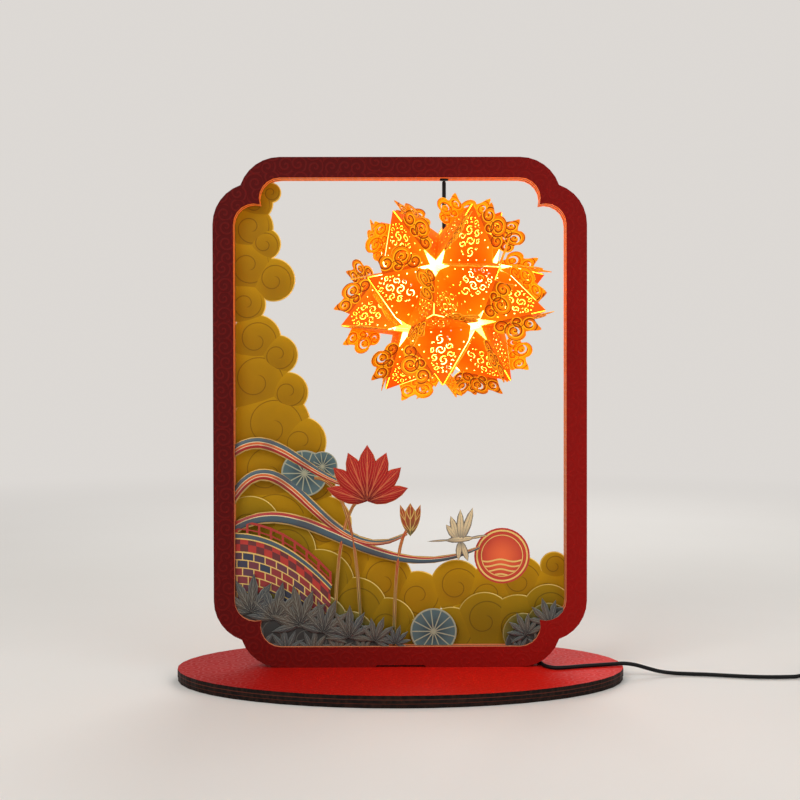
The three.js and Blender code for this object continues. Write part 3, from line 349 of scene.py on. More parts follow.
def soft_step(value, low, high):
    """0 below low, 1 above high, smooth between. With low above high it falls instead."""
    sockets = {"Value": value, "From Min": low, "From Max": high}
    return Wire(node(value.tree, "ShaderNodeMapRange", sockets, interpolation_type="SMOOTHSTEP").outputs[0])


def near(value, line, width):
    """1 where value is within width of line."""
    return calc("COMPARE", value, line, width)


def highest(first, *others):
    for other in others:
        first = calc("MAXIMUM", first, other)
    return first


def fraction(value):
    return calc("FRACT", value)


def turns(aside, above):
    """The angle of a place round the middle, in turns."""
    return calc("ARCTAN2", above, aside) / TURN


def mix(share, under, over):
    """One colour over another."""
    made = node(share.tree, "ShaderNodeMix", {0: share, 6: under, 7: over}, data_type="RGBA")
    return Wire(made.outputs[2])


def mix_value(share, under, over):
    made = node(share.tree, "ShaderNodeMix", {0: share, 2: under, 3: over}, data_type="FLOAT")
    return Wire(made.outputs[0])


def axes(place):
    """The x, y and z of a vector."""
    return [Wire(output) for output in node(place.tree, "ShaderNodeSeparateXYZ", {0: place}).outputs]


def vector(x, y):
    return Wire(node(x.tree, "ShaderNodeCombineXYZ", {"X": x, "Y": y}).outputs[0])


def length_of(place):
    return Wire(node(place.tree, "ShaderNodeVectorMath", {0: place}, operation="LENGTH").outputs["Value"])


def away_from(place, middle):
    """The vector from middle to place."""
    made = node(place.tree, "ShaderNodeVectorMath", {0: place, 1: middle}, operation="SUBTRACT")
    return Wire(made.outputs["Vector"])


def noise(place, scale, detail=2.0):
    made = node(place.tree, "ShaderNodeTexNoise", {"Vector": place, "Scale": scale, "Detail": detail})
    return Wire(made.outputs[0])


def stretched(place, scale):
    return Wire(node(place.tree, "ShaderNodeMapping", {"Vector": place, "Scale": scale}).outputs[0])


# %% [markdown]
# ## Materials and groups
#
# What several materials share becomes a node group, which is built once and then placed with other
# values. Numbers that are the same all over a surface are set on the shader itself, because an export
# reads them there. Only what varies over the surface comes in by wire.

# %% Materials and groups
SOCKET_KINDS = {"value": "NodeSocketFloat", "vector": "NodeSocketVector"}


def begin_group(name, **inputs):
    """Starts a node group. Gives its tree and a wire for each input. A _ in a name becomes a space."""
    tree = bpy.data.node_groups.new(name, "ShaderNodeTree")
    for title, kind in inputs.items():
        tree.interface.new_socket(title.replace("_", " "), in_out="INPUT", socket_type=SOCKET_KINDS[kind])
    given = tree.nodes.new("NodeGroupInput").outputs
    return tree, *[Wire(given[title.replace("_", " ")]) for title in inputs]


def end_group(tree, **results):
    """Names what a group gives back: values that vary over the surface."""
    for title in results:
        tree.interface.new_socket(title, in_out="OUTPUT", socket_type=SOCKET_KINDS["value"])
    sockets = tree.nodes.new("NodeGroupOutput").inputs
    for title, value in results.items():
        fill(sockets[title], value)


def place_group(group, **sockets):
    """Places a group in the tree of the wires that it is given."""
    named = {title.replace("_", " "): value for title, value in sockets.items()}
    made = node(tree_of(sockets.values()), "ShaderNodeGroup", named, node_tree=group)
    return {output.name: Wire(output) for output in made.outputs}


def new_material(name, **surface):
    """A material with one Principled BSDF, and the sockets that are the same all over."""
    material = bpy.data.materials.new(name)
    material.use_nodes = True
    shader = material.node_tree.nodes["Principled BSDF"]
    for title, value in surface.items():
        shader.inputs[title.replace("_", " ")].default_value = value
    return material, material.node_tree, shader


# %% [markdown]
# Places come from the object's own coordinates, which are metres from the middle of the foot, or from a
# UV map of the piece. Both stay put when the camera moves. Colour, light and relief then go to the
# shader: a bump is one height, a depth in metres and a strength.

# %% Places, paint and relief
def object_place(tree):
    return Wire(node(tree, "ShaderNodeTexCoord").outputs["Object"])


def object_normal(tree):
    return Wire(node(tree, "ShaderNodeTexCoord").outputs["Normal"])


def map_place(tree, name):
    return Wire(node(tree, "ShaderNodeUVMap", uv_map=name).outputs[0])


def paint(shader, tone):
    fill(shader.inputs["Base Color"], tone)


def light_up(shader, tone, strength):
    fill(shader.inputs["Emission Color"], tone)
    shader.inputs["Emission Strength"].default_value = strength


def bump(shader, height, distance, strength):
    made = node(height.tree, "ShaderNodeBump", {"Height": height, "Distance": distance, "Strength": strength})
    fill(shader.inputs["Normal"], Wire(made.outputs[0]))


def dress(material, *names):
    """Gives CAD nodes a material in place of their plain one."""
    for name in names:
        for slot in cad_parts[name].material_slots:
            slot.material = material
    print(f"{material.name}: {', '.join(names)}")


def glue(piece, material, slot):
    """Gives a piece of the picture its material and its body. Its slot is not used."""
    piece.data.materials.append(material)
    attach(piece, "stand")


# %% [markdown]
# ## Light
#
# The photograph was taken in a dark room, but a part has to look right under any light. Soft light from
# two large lamps in front, one behind and an even world keep colours close to how they are written. No
# lamp stands in the ball: its glow is in its paper.

# %% Lamps
WINDOW_MIDDLE = Vector((0, 0, 0.21))


def add_lamp(name, place, size, power):
    """A square lamp that looks at the middle of the window."""
    data = bpy.data.lights.new(name, "AREA")
    data.size = size
    data.energy = power
    lamp = bpy.data.objects.new(name, data)
    bpy.context.collection.objects.link(lamp)
    lamp.location = place
    lamp.rotation_euler = (WINDOW_MIDDLE - Vector(place)).to_track_quat("-Z", "Y").to_euler()


add_lamp("key_lamp", (-0.9, -1.3, 1.3), 1.0, 18)
add_lamp("fill_lamp", (1.2, -1.1, 0.8), 1.2, 9)
add_lamp("back_lamp", (0.3, 1.5, 1.2), 1.0, 12)
bpy.context.scene.view_settings.view_transform = "Standard"


# %% [markdown]
# ## Backdrop
#
# The background has to be pale, and more light would bleach the object. Light Path tells which rays only
# show the background: those straight from the camera, in a reflection or through glass. They see a pale
# grey, and all other rays see a dim even sky.

# %% Backdrop
BACKDROP = (0.72, 0.69, 0.66, 1)
SKY, SKY_STRENGTH = (0.86, 0.85, 0.84, 1), 0.42


def seen_rays(tree):
    """1 for the rays that show the background."""
    rays = node(tree, "ShaderNodeLightPath").outputs
    titles = ("Is Camera Ray", "Is Glossy Ray", "Is Transmission Ray")
    return highest(*[Wire(rays[title]) for title in titles])


def mix_shaders(share, under, over):
    return Wire(node(share.tree, "ShaderNodeMixShader", {0: share, 1: under, 2: over}).outputs[0])


world = bpy.data.worlds.new("studio")
bpy.context.scene.world = world
world.use_nodes = True
sky = world.node_tree.nodes["Background"]
fill(sky.inputs["Color"], SKY)
fill(sky.inputs["Strength"], SKY_STRENGTH)
backdrop = node(world.node_tree, "ShaderNodeBackground", {"Color": BACKDROP})
seen = mix_shaders(seen_rays(world.node_tree), Wire(sky.outputs[0]), Wire(backdrop.outputs[0]))
fill(world.node_tree.nodes["World Output"].inputs[0], seen)

# %% [markdown]
# ## Floor
#
# The floor is plain and pale, a little uneven so that the shadow has something to lie on. Near the lamp
# it is painted and keeps the shadow. Further off it fades into the backdrop for the same rays, so that
# no horizon is seen.

# %% Floor
FLOOR_SIZE, FLOOR_DROP = 6, 0.0002
FADE_NEAR, FADE_FAR = 0.4, 2.2

floor_mesh = bmesh.new()
bmesh.ops.create_grid(floor_mesh, x_segments=1, y_segments=1, size=FLOOR_SIZE)
floor = add_mesh("floor", floor_mesh)
floor.location.z = -FLOOR_DROP

floor_paint, tree, shader = new_material("floor_paint", Roughness=0.85)
place = object_place(tree)
paint(shader, mix(noise(place, 3.0, detail=3.0), colour(226, 222, 216), colour(234, 231, 226)))
faded = soft_step(length_of(place), FADE_NEAR, FADE_FAR) * seen_rays(tree)
far = node(tree, "ShaderNodeEmission", {"Color": BACKDROP})
joined = mix_shaders(faded, Wire(shader.outputs[0]), Wire(far.outputs[0]))
fill(tree.nodes["Material Output"].inputs[0], joined)
floor.data.materials.append(floor_paint)

# %% [markdown]
# ## Paper fibre
#
# Paper is never one colour: fibres lie every way, and the sheet is a little cloudy where they bunch. A
# picture of paper could be wrapped round each piece, but two noise textures do it at any scale: a fine
# one stretched into short fibres, and a broad one for the clouds.

# %% Group: paper fibre
FIBRE_STRETCH = (1, 1, 3.5)
CLOUDS_PER_FIBRE = 0.09

fibre_group, place, fibre = begin_group("paper_fibre", Place="vector", Fibre="value")
fine = noise(stretched(place, FIBRE_STRETCH), fibre, detail=4.0)
broad = noise(place, fibre * CLOUDS_PER_FIBRE)
end_group(fibre_group, Tone=fine * 0.5 + broad * 0.5, Height=fine)

# %% [markdown]
# ## Scroll embossing
#
# The red paper on the boards is embossed with small scrolls, an old cloth and paper pattern. They could
# be drawn as curves and baked. Here every cell of a Voronoi texture gets a spiral of its own: the
# distance from the cell's centre plus the angle round it, wrapped to 0..1, makes the line of a scroll.
# Half of the cells wind the other way.

# %% Group: scroll embossing
SCROLL_DISORDER = 0.55
SCROLL_LINE = (0.76, 0.9)

scroll_group, place, cells, tightness = begin_group(
    "scroll_embossing", Place="vector", Cells="value", Turns="value")
voronoi = node(
    scroll_group, "ShaderNodeTexVoronoi",
    {"Vector": place, "Scale": cells, "Randomness": SCROLL_DISORDER}, voronoi_dimensions="2D").outputs
across, upward, _ = axes(away_from(place, Wire(voronoi["Position"])))
handed = calc("SIGN", Wire(voronoi["Color"]) - 0.5)
wound = fraction(turns(across, upward) * handed + Wire(voronoi["Distance"]) * tightness)
end_group(scroll_group, Line=soft_step(1.0 - abs(wound - 0.5), *SCROLL_LINE))


# %% [markdown]
# ## Boards
#
# Base and frame are boards of pressed wood fibre, cut by a laser and covered with red paper on their
# faces. The cut leaves their edges burnt dark, with a streaky bump. Faces and edges could be split into
# two materials, but the CAD mesh stays as it is, so one material tells face from edge by the normal.

# %% Board material
FRAME_MIDDLE = 0.207
BASE_SEAMS = (0.003, 0.006)
SEAM_HALF = 0.00024
FACE_LEAN = 0.6
BURN_STREAKS = (260, 900, 260)
SCROLLS_PER_METRE, SCROLL_TIGHTNESS, BOARD_FIBRE = 86.0, 2.8, 1500.0
EDGE_GLOW = 0.45
SMOKED, SEAM_LINE, FIBRE_SHADOW = colour(120, 40, 10), colour(104, 48, 36), (0.02, 0.003, 0.002, 1)


def board_edge(edge_colours, burn, z, upright):
    """Burnt fibre. The base is three boards, and the glue between them shows as a thin paler line."""
    edge = mix(soft_step(burn, 0.35, 0.7), *edge_colours)
    if upright:
        return edge
    seam = highest(*[near(z, height, SEAM_HALF) for height in BASE_SEAMS])
    return mix(seam * 0.7, edge, SEAM_LINE)


def board_material(name, upright, paper_colours, edge_colours, glow=None, line_share=0.15, depth=0.00025):
    """Embossed paper on the faces of a board, and burnt fibre on its edges."""
    material, tree, shader = new_material(name, Specular_IOR_Level=0.1)
    place = object_place(tree)
    x, y, z = axes(place)
    normal_x, normal_y, normal_z = axes(object_normal(tree))
    face = abs(normal_y if upright else normal_z) > FACE_LEAN
    flat = vector(x, z if upright else y)
    scroll = place_group(scroll_group, Place=flat, Cells=SCROLLS_PER_METRE, Turns=SCROLL_TIGHTNESS)
    line, fibre = scroll["Line"], place_group(fibre_group, Place=place, Fibre=BOARD_FIBRE)
    # Painted shade: the paper is darker towards the upper left and lighter towards the lower right.
    paper = mix(soft_step(x - z * 0.4, -0.22, 0.16), paper_colours[0], paper_colours[1])
    paper = mix(line * line_share, paper, paper_colours[2])
    paper = mix(fibre["Tone"] * 0.35, paper, FIBRE_SHADOW)
    burn = noise(stretched(place, BURN_STREAKS), 1.0, detail=5.0)
    edge = board_edge(edge_colours, burn, z, upright)
    if glow:
        # A face that looks towards the middle of the frame is lit by the ball.
        inner = normal_x * x + normal_z * (z - FRAME_MIDDLE) < 0.0
        lit = mix(burn * 0.5, mix(soft_step(z, 0.02, 0.36), *glow), SMOKED)
        edge = mix(inner, edge, lit)
        light_up(shader, mix(inner * (1.0 - face), BLACK, lit), EDGE_GLOW)
    paint(shader, mix(face, edge, paper))
    fill(shader.inputs["Roughness"], mix_value(line, 0.66, 0.5))
    bump(shader, line * face + burn * 0.6, depth, 0.5)
    return material


# %% [markdown]
# Five boards make the frame and three make the base. Paper colours are given dark to light, for painted
# shade that is darker towards the upper left. Round the window the edges glow from the ball: orange at the
# top, and duller at the foot. The spacers catch less of it than the boards beside them.

# %% Boards
FRAME_RED = [colour(84, 6, 6), colour(150, 10, 5), colour(156, 26, 16)]
BASE_RED = [colour(168, 12, 8), colour(222, 28, 17), colour(234, 70, 46)]
CORE_FIBRE, FOOT_FIBRE = [colour(18, 10, 8)] * 3, [colour(56, 34, 22)] * 3
BURNT = [colour(26, 14, 9), colour(66, 34, 18)]
# The first charred tone also serves as painted shade at the foot of the sheets, in the notch under the frame.
CHARRED_AND_NOTCH_SHADE = [colour(14, 9, 8), colour(40, 24, 18)]
SEAM = [colour(18, 12, 9), colour(50, 28, 16)]
GLOW = [colour(196, 116, 78), colour(244, 128, 44)]
DIM_GLOW = [colour(64, 18, 8), colour(118, 38, 12)]

frame_red = board_material("frame_red_paper", True, FRAME_RED, BURNT, GLOW)
core_board = board_material("core_board", True, CORE_FIBRE, SEAM, GLOW)
spacer_board = board_material("spacer_board", True, CORE_FIBRE, SEAM, DIM_GLOW)
base_red = board_material("base_red_paper", False, BASE_RED, CHARRED_AND_NOTCH_SHADE, line_share=0.06, depth=0.0001)
base_dark = board_material("base_dark_board", False, FOOT_FIBRE, CHARRED_AND_NOTCH_SHADE)
dress(frame_red, "frame_front_board", "frame_back_board")
dress(core_board, "frame_core")
dress(spacer_board, "frame_spacer_front", "frame_spacer_back")
dress(base_red, "base_top_board")
dress(base_dark, "base_middle_board", "base_foot_board")

# %% [markdown]
# ## Printed and shaded lobes
#
# The far sheets are clouds and hills made of overlapping lobes. Each has a printed curl and painted shade:
# darker inside and lower down, paler outwards and at its top. Its thin pale border is partly a printed line
# and partly a painted highlight that is brighter towards the ball. A shader could draw every lobe in turn,
# but a chain of thirty overflows what Cycles can hold. Here each lobe is a thin round plate with its own UV
# map, so one short group prints them all.

# %% Group: printed and shaded lobe
CURL_WIND = 1.9
CURL_HALF = 0.7  # in mm, as the size map is

lobe_group, lobe_place, size_place = begin_group("printed_and_shaded_lobe", Lobe_Map="vector", Size_Map="vector")
aside, above, _ = axes(lobe_place)
size, turn, _ = axes(size_place)
share = length_of(lobe_place)
wound = fraction(share * CURL_WIND + turns(aside, above) * turn)
curl = abs(wound - 0.5) < CURL_HALF / size
curl_band = soft_step(share, 0.14, 0.22) * soft_step(share, 0.86, 0.76)
# Painted highlight: the border is brighter on the side towards the ball.
towards_ball = soft_step(aside, -0.5, 0.6) * 0.6 + 0.4
border = soft_step((1.0 - share) * size, 1.0, 0.5) * towards_ball
# Painted shade: the tone is darker in the middle and lower down, and paler outwards and at the top.
tone = calc("MULTIPLY_ADD", soft_step(share, 0.35, 1.0), 0.3, above * 0.35 + 0.4, clamp=True)
end_group(lobe_group, Tone=tone, Ink=curl * curl_band, Border=border)

# %% [markdown]
# ## Where the lobes lie
#
# The tables repeat the outlines of the CAD sheets, lobe by lobe, as they can't be read from here. A place
# is given in shares of the window's width and height, and a radius as a share of its width.

# %% Lobe tables
WINDOW_WIDTH, WINDOW_HEIGHT, SILL = 0.258, 0.364, 0.025
CLOUD_SHARES = [
    (-0.391, 0.973, 0.031), (-0.438, 0.951, 0.054), (-0.453, 0.898, 0.07), (-0.411, 0.863, 0.05),
    (-0.461, 0.816, 0.078), (-0.384, 0.786, 0.066), (-0.469, 0.734, 0.062), (-0.438, 0.657, 0.078),
    (-0.372, 0.624, 0.062), (-0.438, 0.569, 0.105), (-0.341, 0.544, 0.062), (-0.391, 0.47, 0.12),
    (-0.302, 0.437, 0.078), (-0.403, 0.371, 0.116), (-0.275, 0.349, 0.078), (-0.391, 0.261, 0.132),
    (-0.233, 0.261, 0.085), (-0.349, 0.151, 0.155), (-0.178, 0.173, 0.101), (-0.054, 0.135, 0.093),
    (0.054, 0.102, 0.078), (0.171, 0.124, 0.081), (0.271, 0.102, 0.093), (0.364, 0.135, 0.078),
    (0.453, 0.107, 0.078), (0.469, 0.168, 0.043), (-0.388, 0.027, 0.116), (-0.213, 0.036, 0.124),
    (-0.085, 0.025, 0.093), (0.225, 0.025, 0.101), (0.341, 0.03, 0.101), (0.457, 0.041, 0.085),
]
HILL_SHARES = [
    (-0.457, 0.255, 0.093), (-0.357, 0.201, 0.101), (-0.248, 0.129, 0.109), (-0.14, 0.074, 0.101),
    (-0.039, 0.041, 0.085), (-0.388, 0.069, 0.155), (-0.233, 0.025, 0.132), (0.062, 0.014, 0.062),
    (0.155, 0.025, 0.078), (0.256, 0.052, 0.085), (0.357, 0.041, 0.093), (0.45, 0.074, 0.078),
    (0.388, -0.003, 0.085),
]
MEADOW_SHARES = [
    (-0.434, 0.124, 0.101), (-0.357, 0.074, 0.116), (-0.256, 0.041, 0.101), (-0.155, 0.019, 0.078),
    (0.372, 0.025, 0.062), (0.45, 0.041, 0.07),
]
BUSH_SHARES = [
    (-0.465, 0.041, 0.07), (-0.38, 0.025, 0.07), (-0.279, 0.014, 0.07), (-0.178, 0.008, 0.054),
    (-0.078, 0.003, 0.043), (0.364, 0.003, 0.047), (0.434, 0.019, 0.054), (0.481, 0.052, 0.043),
]
PAD_SHARES = [(-0.29, 0.37, 0.07), (-0.235, 0.385, 0.045), (0.1, 0.03, 0.07)]


def window_x(share):
    return share * WINDOW_WIDTH


def window_z(share):
    return SILL + share * WINDOW_HEIGHT


def in_window(places):
    return [(window_x(x), window_z(z)) for x, z in places]


# %% [markdown]
# ## Plain sheets
#
# Under the printed plates lie sheets of plain coloured paper, which show as pale borders and in the thin
# edges of the stack. Their foot is painted near black as shade, which shows in the notch under the frame.
# One material could choose a colour by depth, but one for each sheet is easier to change.

# %% Plain sheets
NOTCH_SHADE_BELOW = 0.0115
SHEET_FIBRE, FIBRE_DEPTH = 1300.0, 0.0001


def sheet_material(name, ground, shade):
    """Plain coloured paper, cloudy and fibrous, with painted shade at its foot."""
    material, tree, shader = new_material(name, Roughness=0.72, Specular_IOR_Level=0.2)
    place = object_place(tree)
    fibre = place_group(fibre_group, Place=place, Fibre=SHEET_FIBRE)
    # Painted shade: below this height the sheets are near black, as the notch under the frame lies in shadow.
    notch_shade = axes(place)[2] < NOTCH_SHADE_BELOW
    paint(shader, mix(notch_shade, mix(fibre["Tone"], ground, shade), CHARRED_AND_NOTCH_SHADE[0]))
    bump(shader, fibre["Height"], FIBRE_DEPTH, 0.5)
    return material


dress(sheet_material("cloud_edge", colour(206, 172, 84), colour(120, 86, 20)), "sheet_clouds")
dress(sheet_material("hill_edge", colour(188, 158, 70), colour(110, 84, 20)), "sheet_hills")
dress(sheet_material("streamer_edge", colour(214, 182, 116), colour(120, 84, 50)), "sheet_streamers")
dress(sheet_material("bush_edge", colour(176, 182, 174), colour(90, 98, 100)), "sheet_leaves")
dress(sheet_material("lotus_border", colour(228, 170, 110), colour(150, 80, 50)), "lotus_bloom")
dress(sheet_material("crane_border", colour(120, 110, 100), colour(70, 62, 56)), "crane")

# %% [markdown]
# ## The print and painted shade on a lobe
#
# The clouds are ochre, the hills a shade deeper, and the meadow and bushes nearly grey. The ball lights
# the far papers, so those glow a little and the near ones don't. The ink of a curl also stands up by a
# hair, as screen printing does. All four prints are one function with other colours.

# %% Lobe print and shade
OCHRE_SHADOW = (0.05, 0.035, 0.01, 1)
INK_DEPTH = 0.00015


def lobe_material(name, deep, rim, ink, border, glow):
    """Printed paper for lobe plates, with painted shade, from its darkest tone to its border."""
    material, tree, shader = new_material(name, Roughness=0.66, Specular_IOR_Level=0.12)
    lobe = place_group(lobe_group, Lobe_Map=map_place(tree, "lobe"), Size_Map=map_place(tree, "size"))
    fibre = place_group(fibre_group, Place=object_place(tree), Fibre=SHEET_FIBRE)
    printed = mix(lobe["Ink"] * 0.6, mix(lobe["Tone"], deep, rim), ink)
    printed = mix(lobe["Border"], printed, border)
    printed = mix(fibre["Tone"] * 0.25, printed, OCHRE_SHADOW)
    paint(shader, printed)
    light_up(shader, printed, glow)
    bump(shader, fibre["Height"] * 0.3 + lobe["Ink"], INK_DEPTH, 0.5)
    return material


cloud_print_and_shade = lobe_material(
    "cloud_print_and_shade", colour(134, 92, 0), colour(176, 130, 2), colour(88, 54, 2), colour(244, 204, 96), 0.16)
hill_print_and_shade = lobe_material(
    "hill_print_and_shade", colour(108, 82, 0), colour(148, 114, 4), colour(70, 48, 4), colour(222, 194, 112), 0.1)
meadow_print_and_shade = lobe_material(
    "meadow_print_and_shade", colour(74, 70, 40), colour(120, 108, 44), colour(58, 50, 28), colour(190, 176, 120), 0.0)
bush_print_and_shade = lobe_material(
    "bush_print_and_shade", colour(34, 36, 38), colour(62, 64, 64), colour(96, 98, 92), colour(128, 128, 118), 0.0)

# %% [markdown]
# ## Lily pads
#
# Three lily pads are seen from above, slate blue with pale veins that run from the middle like spokes.
# Modelled veins would be too fine to see. The angle round the middle, counted in spokes, tells how far
# the next vein is, and the rim is drawn as one more vein.

# %% Pad print
PAD_VEINS, LINE_DEPTH = 13, 0.0002

pad_print, tree, shader = new_material("pad_print", Roughness=0.6, Specular_IOR_Level=0.2)
place = map_place(tree, "lobe")
aside, above, _ = axes(place)
share = length_of(place)
from_vein = abs(fraction(turns(aside, above) * PAD_VEINS) - 0.5) * share
vein = highest(soft_step(from_vein, 0.07, 0.03), soft_step(share, 0.9, 0.96))
tone = mix(soft_step(share, 0.0, 0.9), colour(44, 58, 64), colour(78, 98, 100))
paint(shader, mix(vein * 0.65, tone, colour(178, 176, 146)))
bump(shader, vein, LINE_DEPTH, 0.5)

# %% [markdown]
# ## Lobe plates
#
# A flat circle would carry the print, but a dome catches the light. So a lobe plate is a disc of four
# rings, domed by a fifth of a millimetre, that overhangs its solid lobe by a hair. Each lies a step in
# front of the one before, so lobes overlap as cut paper does. What would stand past the window is cut off
# by planes just inside the frame.

# %% Lobe plates
STACK_FRONT = {"clouds": 0.004, "hills": 0.0018, "streamers": -0.0023, "leaves": -0.0045, "glued": -0.0028}
CLOUD_BACK = 0.0045
LOBE_RINGS = [0.0, 0.45, 0.8, 0.95, 1.0]
LOBE_SIDES = 40
LOBE_OVERHANG, LOBE_LIFT, LOBE_STEP, LOBE_DOME = 0.00005, 0.00006, 0.00001, 0.0002
WINDOW_CLIPS = [
    ((-0.1287, 0, 0), (-1, 0, 0)), ((0.1287, 0, 0), (1, 0, 0)), ((0, 0, 0.0253), (0, 0, -1)),
    ((0.129, 0, 0.054), (1, 0, -1)), ((-0.129, 0, 0.054), (-1, 0, -1)),
    ((0, 0, 0.3887), (0, 0, 1)), ((-0.129, 0, 0.36), (-1, 0, 1)),
]


def everything(mesh):
    return mesh.verts[:] + mesh.edges[:] + mesh.faces[:]


def clip_to_window(mesh):
    for place, outward in WINDOW_CLIPS:
        bmesh.ops.bisect_plane(
            mesh, geom=everything(mesh), plane_co=place, plane_no=outward, clear_outer=True)


def lobe_corners(mesh, x, z, radius, front, facing, lift):
    """The vertices of a lobe by ring and side, each with its place as shares of the radius."""
    corners = {}
    for ring, reach in enumerate([*LOBE_RINGS, 1.0]):
        height = 0 if ring == len(LOBE_RINGS) else lift + LOBE_DOME * (1 - reach * reach)
        for side in range(LOBE_SIDES):
            if ring == 0 and side:
                corners[ring, side] = corners[0, 0]
                continue
            angle = side / LOBE_SIDES * TURN
            across, upward = reach * math.cos(angle), reach * math.sin(angle)
            vert = mesh.verts.new((x + across * radius, front + facing * height, z + upward * radius))
            corners[ring, side] = (vert, (across, upward))
    return corners


def lobe_plates(name, shares, front, facing):
    """Round plates on a sheet. facing is the sign of y that they look towards."""
    mesh = bmesh.new()
    lobe_map, size_map = mesh.loops.layers.uv.new("lobe"), mesh.loops.layers.uv.new("size")
    for level, (x, z, share) in enumerate(shares):
        radius, turn = window_x(share) + LOBE_OVERHANG, 1 if level % 2 else -1
        lift = LOBE_LIFT + level * LOBE_STEP
        corners = lobe_corners(mesh, window_x(x), window_z(z), radius, front, facing, lift)
        for ring in range(len(LOBE_RINGS)):
            for side in range(LOBE_SIDES):
                after = (side + 1) % LOBE_SIDES
                around = [corners[ring, side], corners[ring + 1, side], corners[ring + 1, after]]
                if ring:
                    around.append(corners[ring, after])
                face = mesh.faces.new([vert for vert, _ in around])
                face.smooth = ring < len(LOBE_RINGS) - 1
                for loop, (_, local) in zip(face.loops, around):
                    loop[lobe_map].uv = local
                    loop[size_map].uv = (radius / MM, turn)
    bmesh.ops.recalc_face_normals(mesh, faces=mesh.faces)
    clip_to_window(mesh)
    print(f"{name}: {len(shares)} lobes, {len(mesh.faces)} faces")
    return add_mesh(name, mesh)


for name, shares, front, facing, printed, slot in (
        ("cloud_lobes", CLOUD_SHARES, STACK_FRONT["clouds"], -1, cloud_print_and_shade, "cloud_paper"),
        ("cloud_lobes_back", CLOUD_SHARES, CLOUD_BACK, 1, cloud_print_and_shade, "cloud_paper"),
        ("hill_lobes", HILL_SHARES, STACK_FRONT["hills"], -1, hill_print_and_shade, "hill_paper"),
        ("meadow_lobes", MEADOW_SHARES, STACK_FRONT["streamers"], -1, meadow_print_and_shade, "slate_paper"),
        ("pad_lobes", PAD_SHARES, STACK_FRONT["streamers"], -1, pad_print, "slate_paper"),
        ("bush_lobes", BUSH_SHARES, STACK_FRONT["leaves"], -1, bush_print_and_shade, "leaf_paper")):
    glue(lobe_plates(name, shares, front, facing), printed, slot)

# %% [markdown]
# ## Relief plates
#
# Leaves, petals, feathers and streamers are printed paper, pressed a little so that their middle stands
# up. They could be painted on flat, but then nothing would catch the light. Here each is a thin domed
# plate on its sheet, a little smaller than the solid under it, so the sheet shows round it as a pale cut
# border. A UV map runs along and across each plate for its print.

# %% Relief plates
PLATE_LIFT, PLATE_STEP = 0.0001, 0.00008
PLATE_COLUMNS, PLATE_DOME_FILL = 4, 1.5
SKIRT_PRINT = (0.5, 0.0)
WELD = 0.000005


def plate_rows(middle, half_widths, front, dome):
    """Rows of vertices across a plate, domed towards the front and flatter where it is narrow."""
    rows = []
    last = len(middle) - 1
    for i, (x, z) in enumerate(middle):
        (x0, z0), (x1, z1) = middle[max(i - 1, 0)], middle[min(i + 1, last)]
        length = math.hypot(x1 - x0, z1 - z0)
        aside = (-(z1 - z0) / length, (x1 - x0) / length)
        row = []
        for j in range(PLATE_COLUMNS + 1):
            v = 2 * j / PLATE_COLUMNS - 1
            crown = dome * (1 - v * v) * min(1, half_widths[i] / max(half_widths) * PLATE_DOME_FILL)
            row.append((x + aside[0] * v * half_widths[i], front - crown, z + aside[1] * v * half_widths[i]))
        rows.append(row)
    return rows


def add_skirt(mesh, plate_map, border, front):
    """Thin sides from the border of a plate down to its sheet, printed as its edge."""
    skirt = [mesh.verts.new((vert.co.x, front, vert.co.z)) for vert in border]
    for i in range(len(border)):
        j = (i + 1) % len(border)
        for loop in mesh.faces.new((border[j], border[i], skirt[i], skirt[j])).loops:
            loop[plate_map].uv = SKIRT_PRINT


def relief(name, shapes, front, dome, step=PLATE_STEP):
    """One object of domed plates, each a step in front of the one before. A shape is a line and widths."""
    mesh = bmesh.new()
    plate_map = mesh.loops.layers.uv.new("plate")
    for level, (middle, half_widths) in enumerate(shapes):
        rows = plate_rows(middle, half_widths, front - PLATE_LIFT - level * step, dome)
        rows = [[mesh.verts.new(place) for place in row] for row in rows]
        last = len(rows) - 1
        for i in range(last):
            for j in range(PLATE_COLUMNS):
                corners = [(i, j), (i, j + 1), (i + 1, j + 1), (i + 1, j)]
                face = mesh.faces.new([rows[a][b] for a, b in corners])
                face.smooth = True
                for loop, (a, b) in zip(face.loops, corners):
                    loop[plate_map].uv = (a / last, b / PLATE_COLUMNS)
        add_skirt(mesh, plate_map, [row[0] for row in rows] + [row[-1] for row in reversed(rows)], front)
    bmesh.ops.remove_doubles(mesh, verts=mesh.verts, dist=WELD)
    bmesh.ops.recalc_face_normals(mesh, faces=mesh.faces)
    clip_to_window(mesh)
    print(f"{name}: {len(shapes)} plates, {len(mesh.faces)} faces")
    return add_mesh(name, mesh)


# %% [markdown]
# ## Petals and waves
#
# Two outlines are enough for the whole picture. A petal is a straight middle line with a width that
# swells and closes again, and a streamer or a stem is a Bezier curve. Both are worked out as the CAD
# outlines are, so that each plate follows its solid.

# %% Petals and waves
PETAL_STEPS, PETAL_BORDER, PETAL_LEAST_HALF = 9, 0.0004, 0.00008
PETAL_RUN_SHARES, PETAL_SWELL_SHARES = (0.25, 0.75, 1), (0.7, 0.55, 0)


def cubic(t, first, second, last):
    """A cubic curve from 0, past two handles, to last."""
    return 3 * (1 - t) ** 2 * t * first + 3 * (1 - t) * t * t * second + t**3 * last


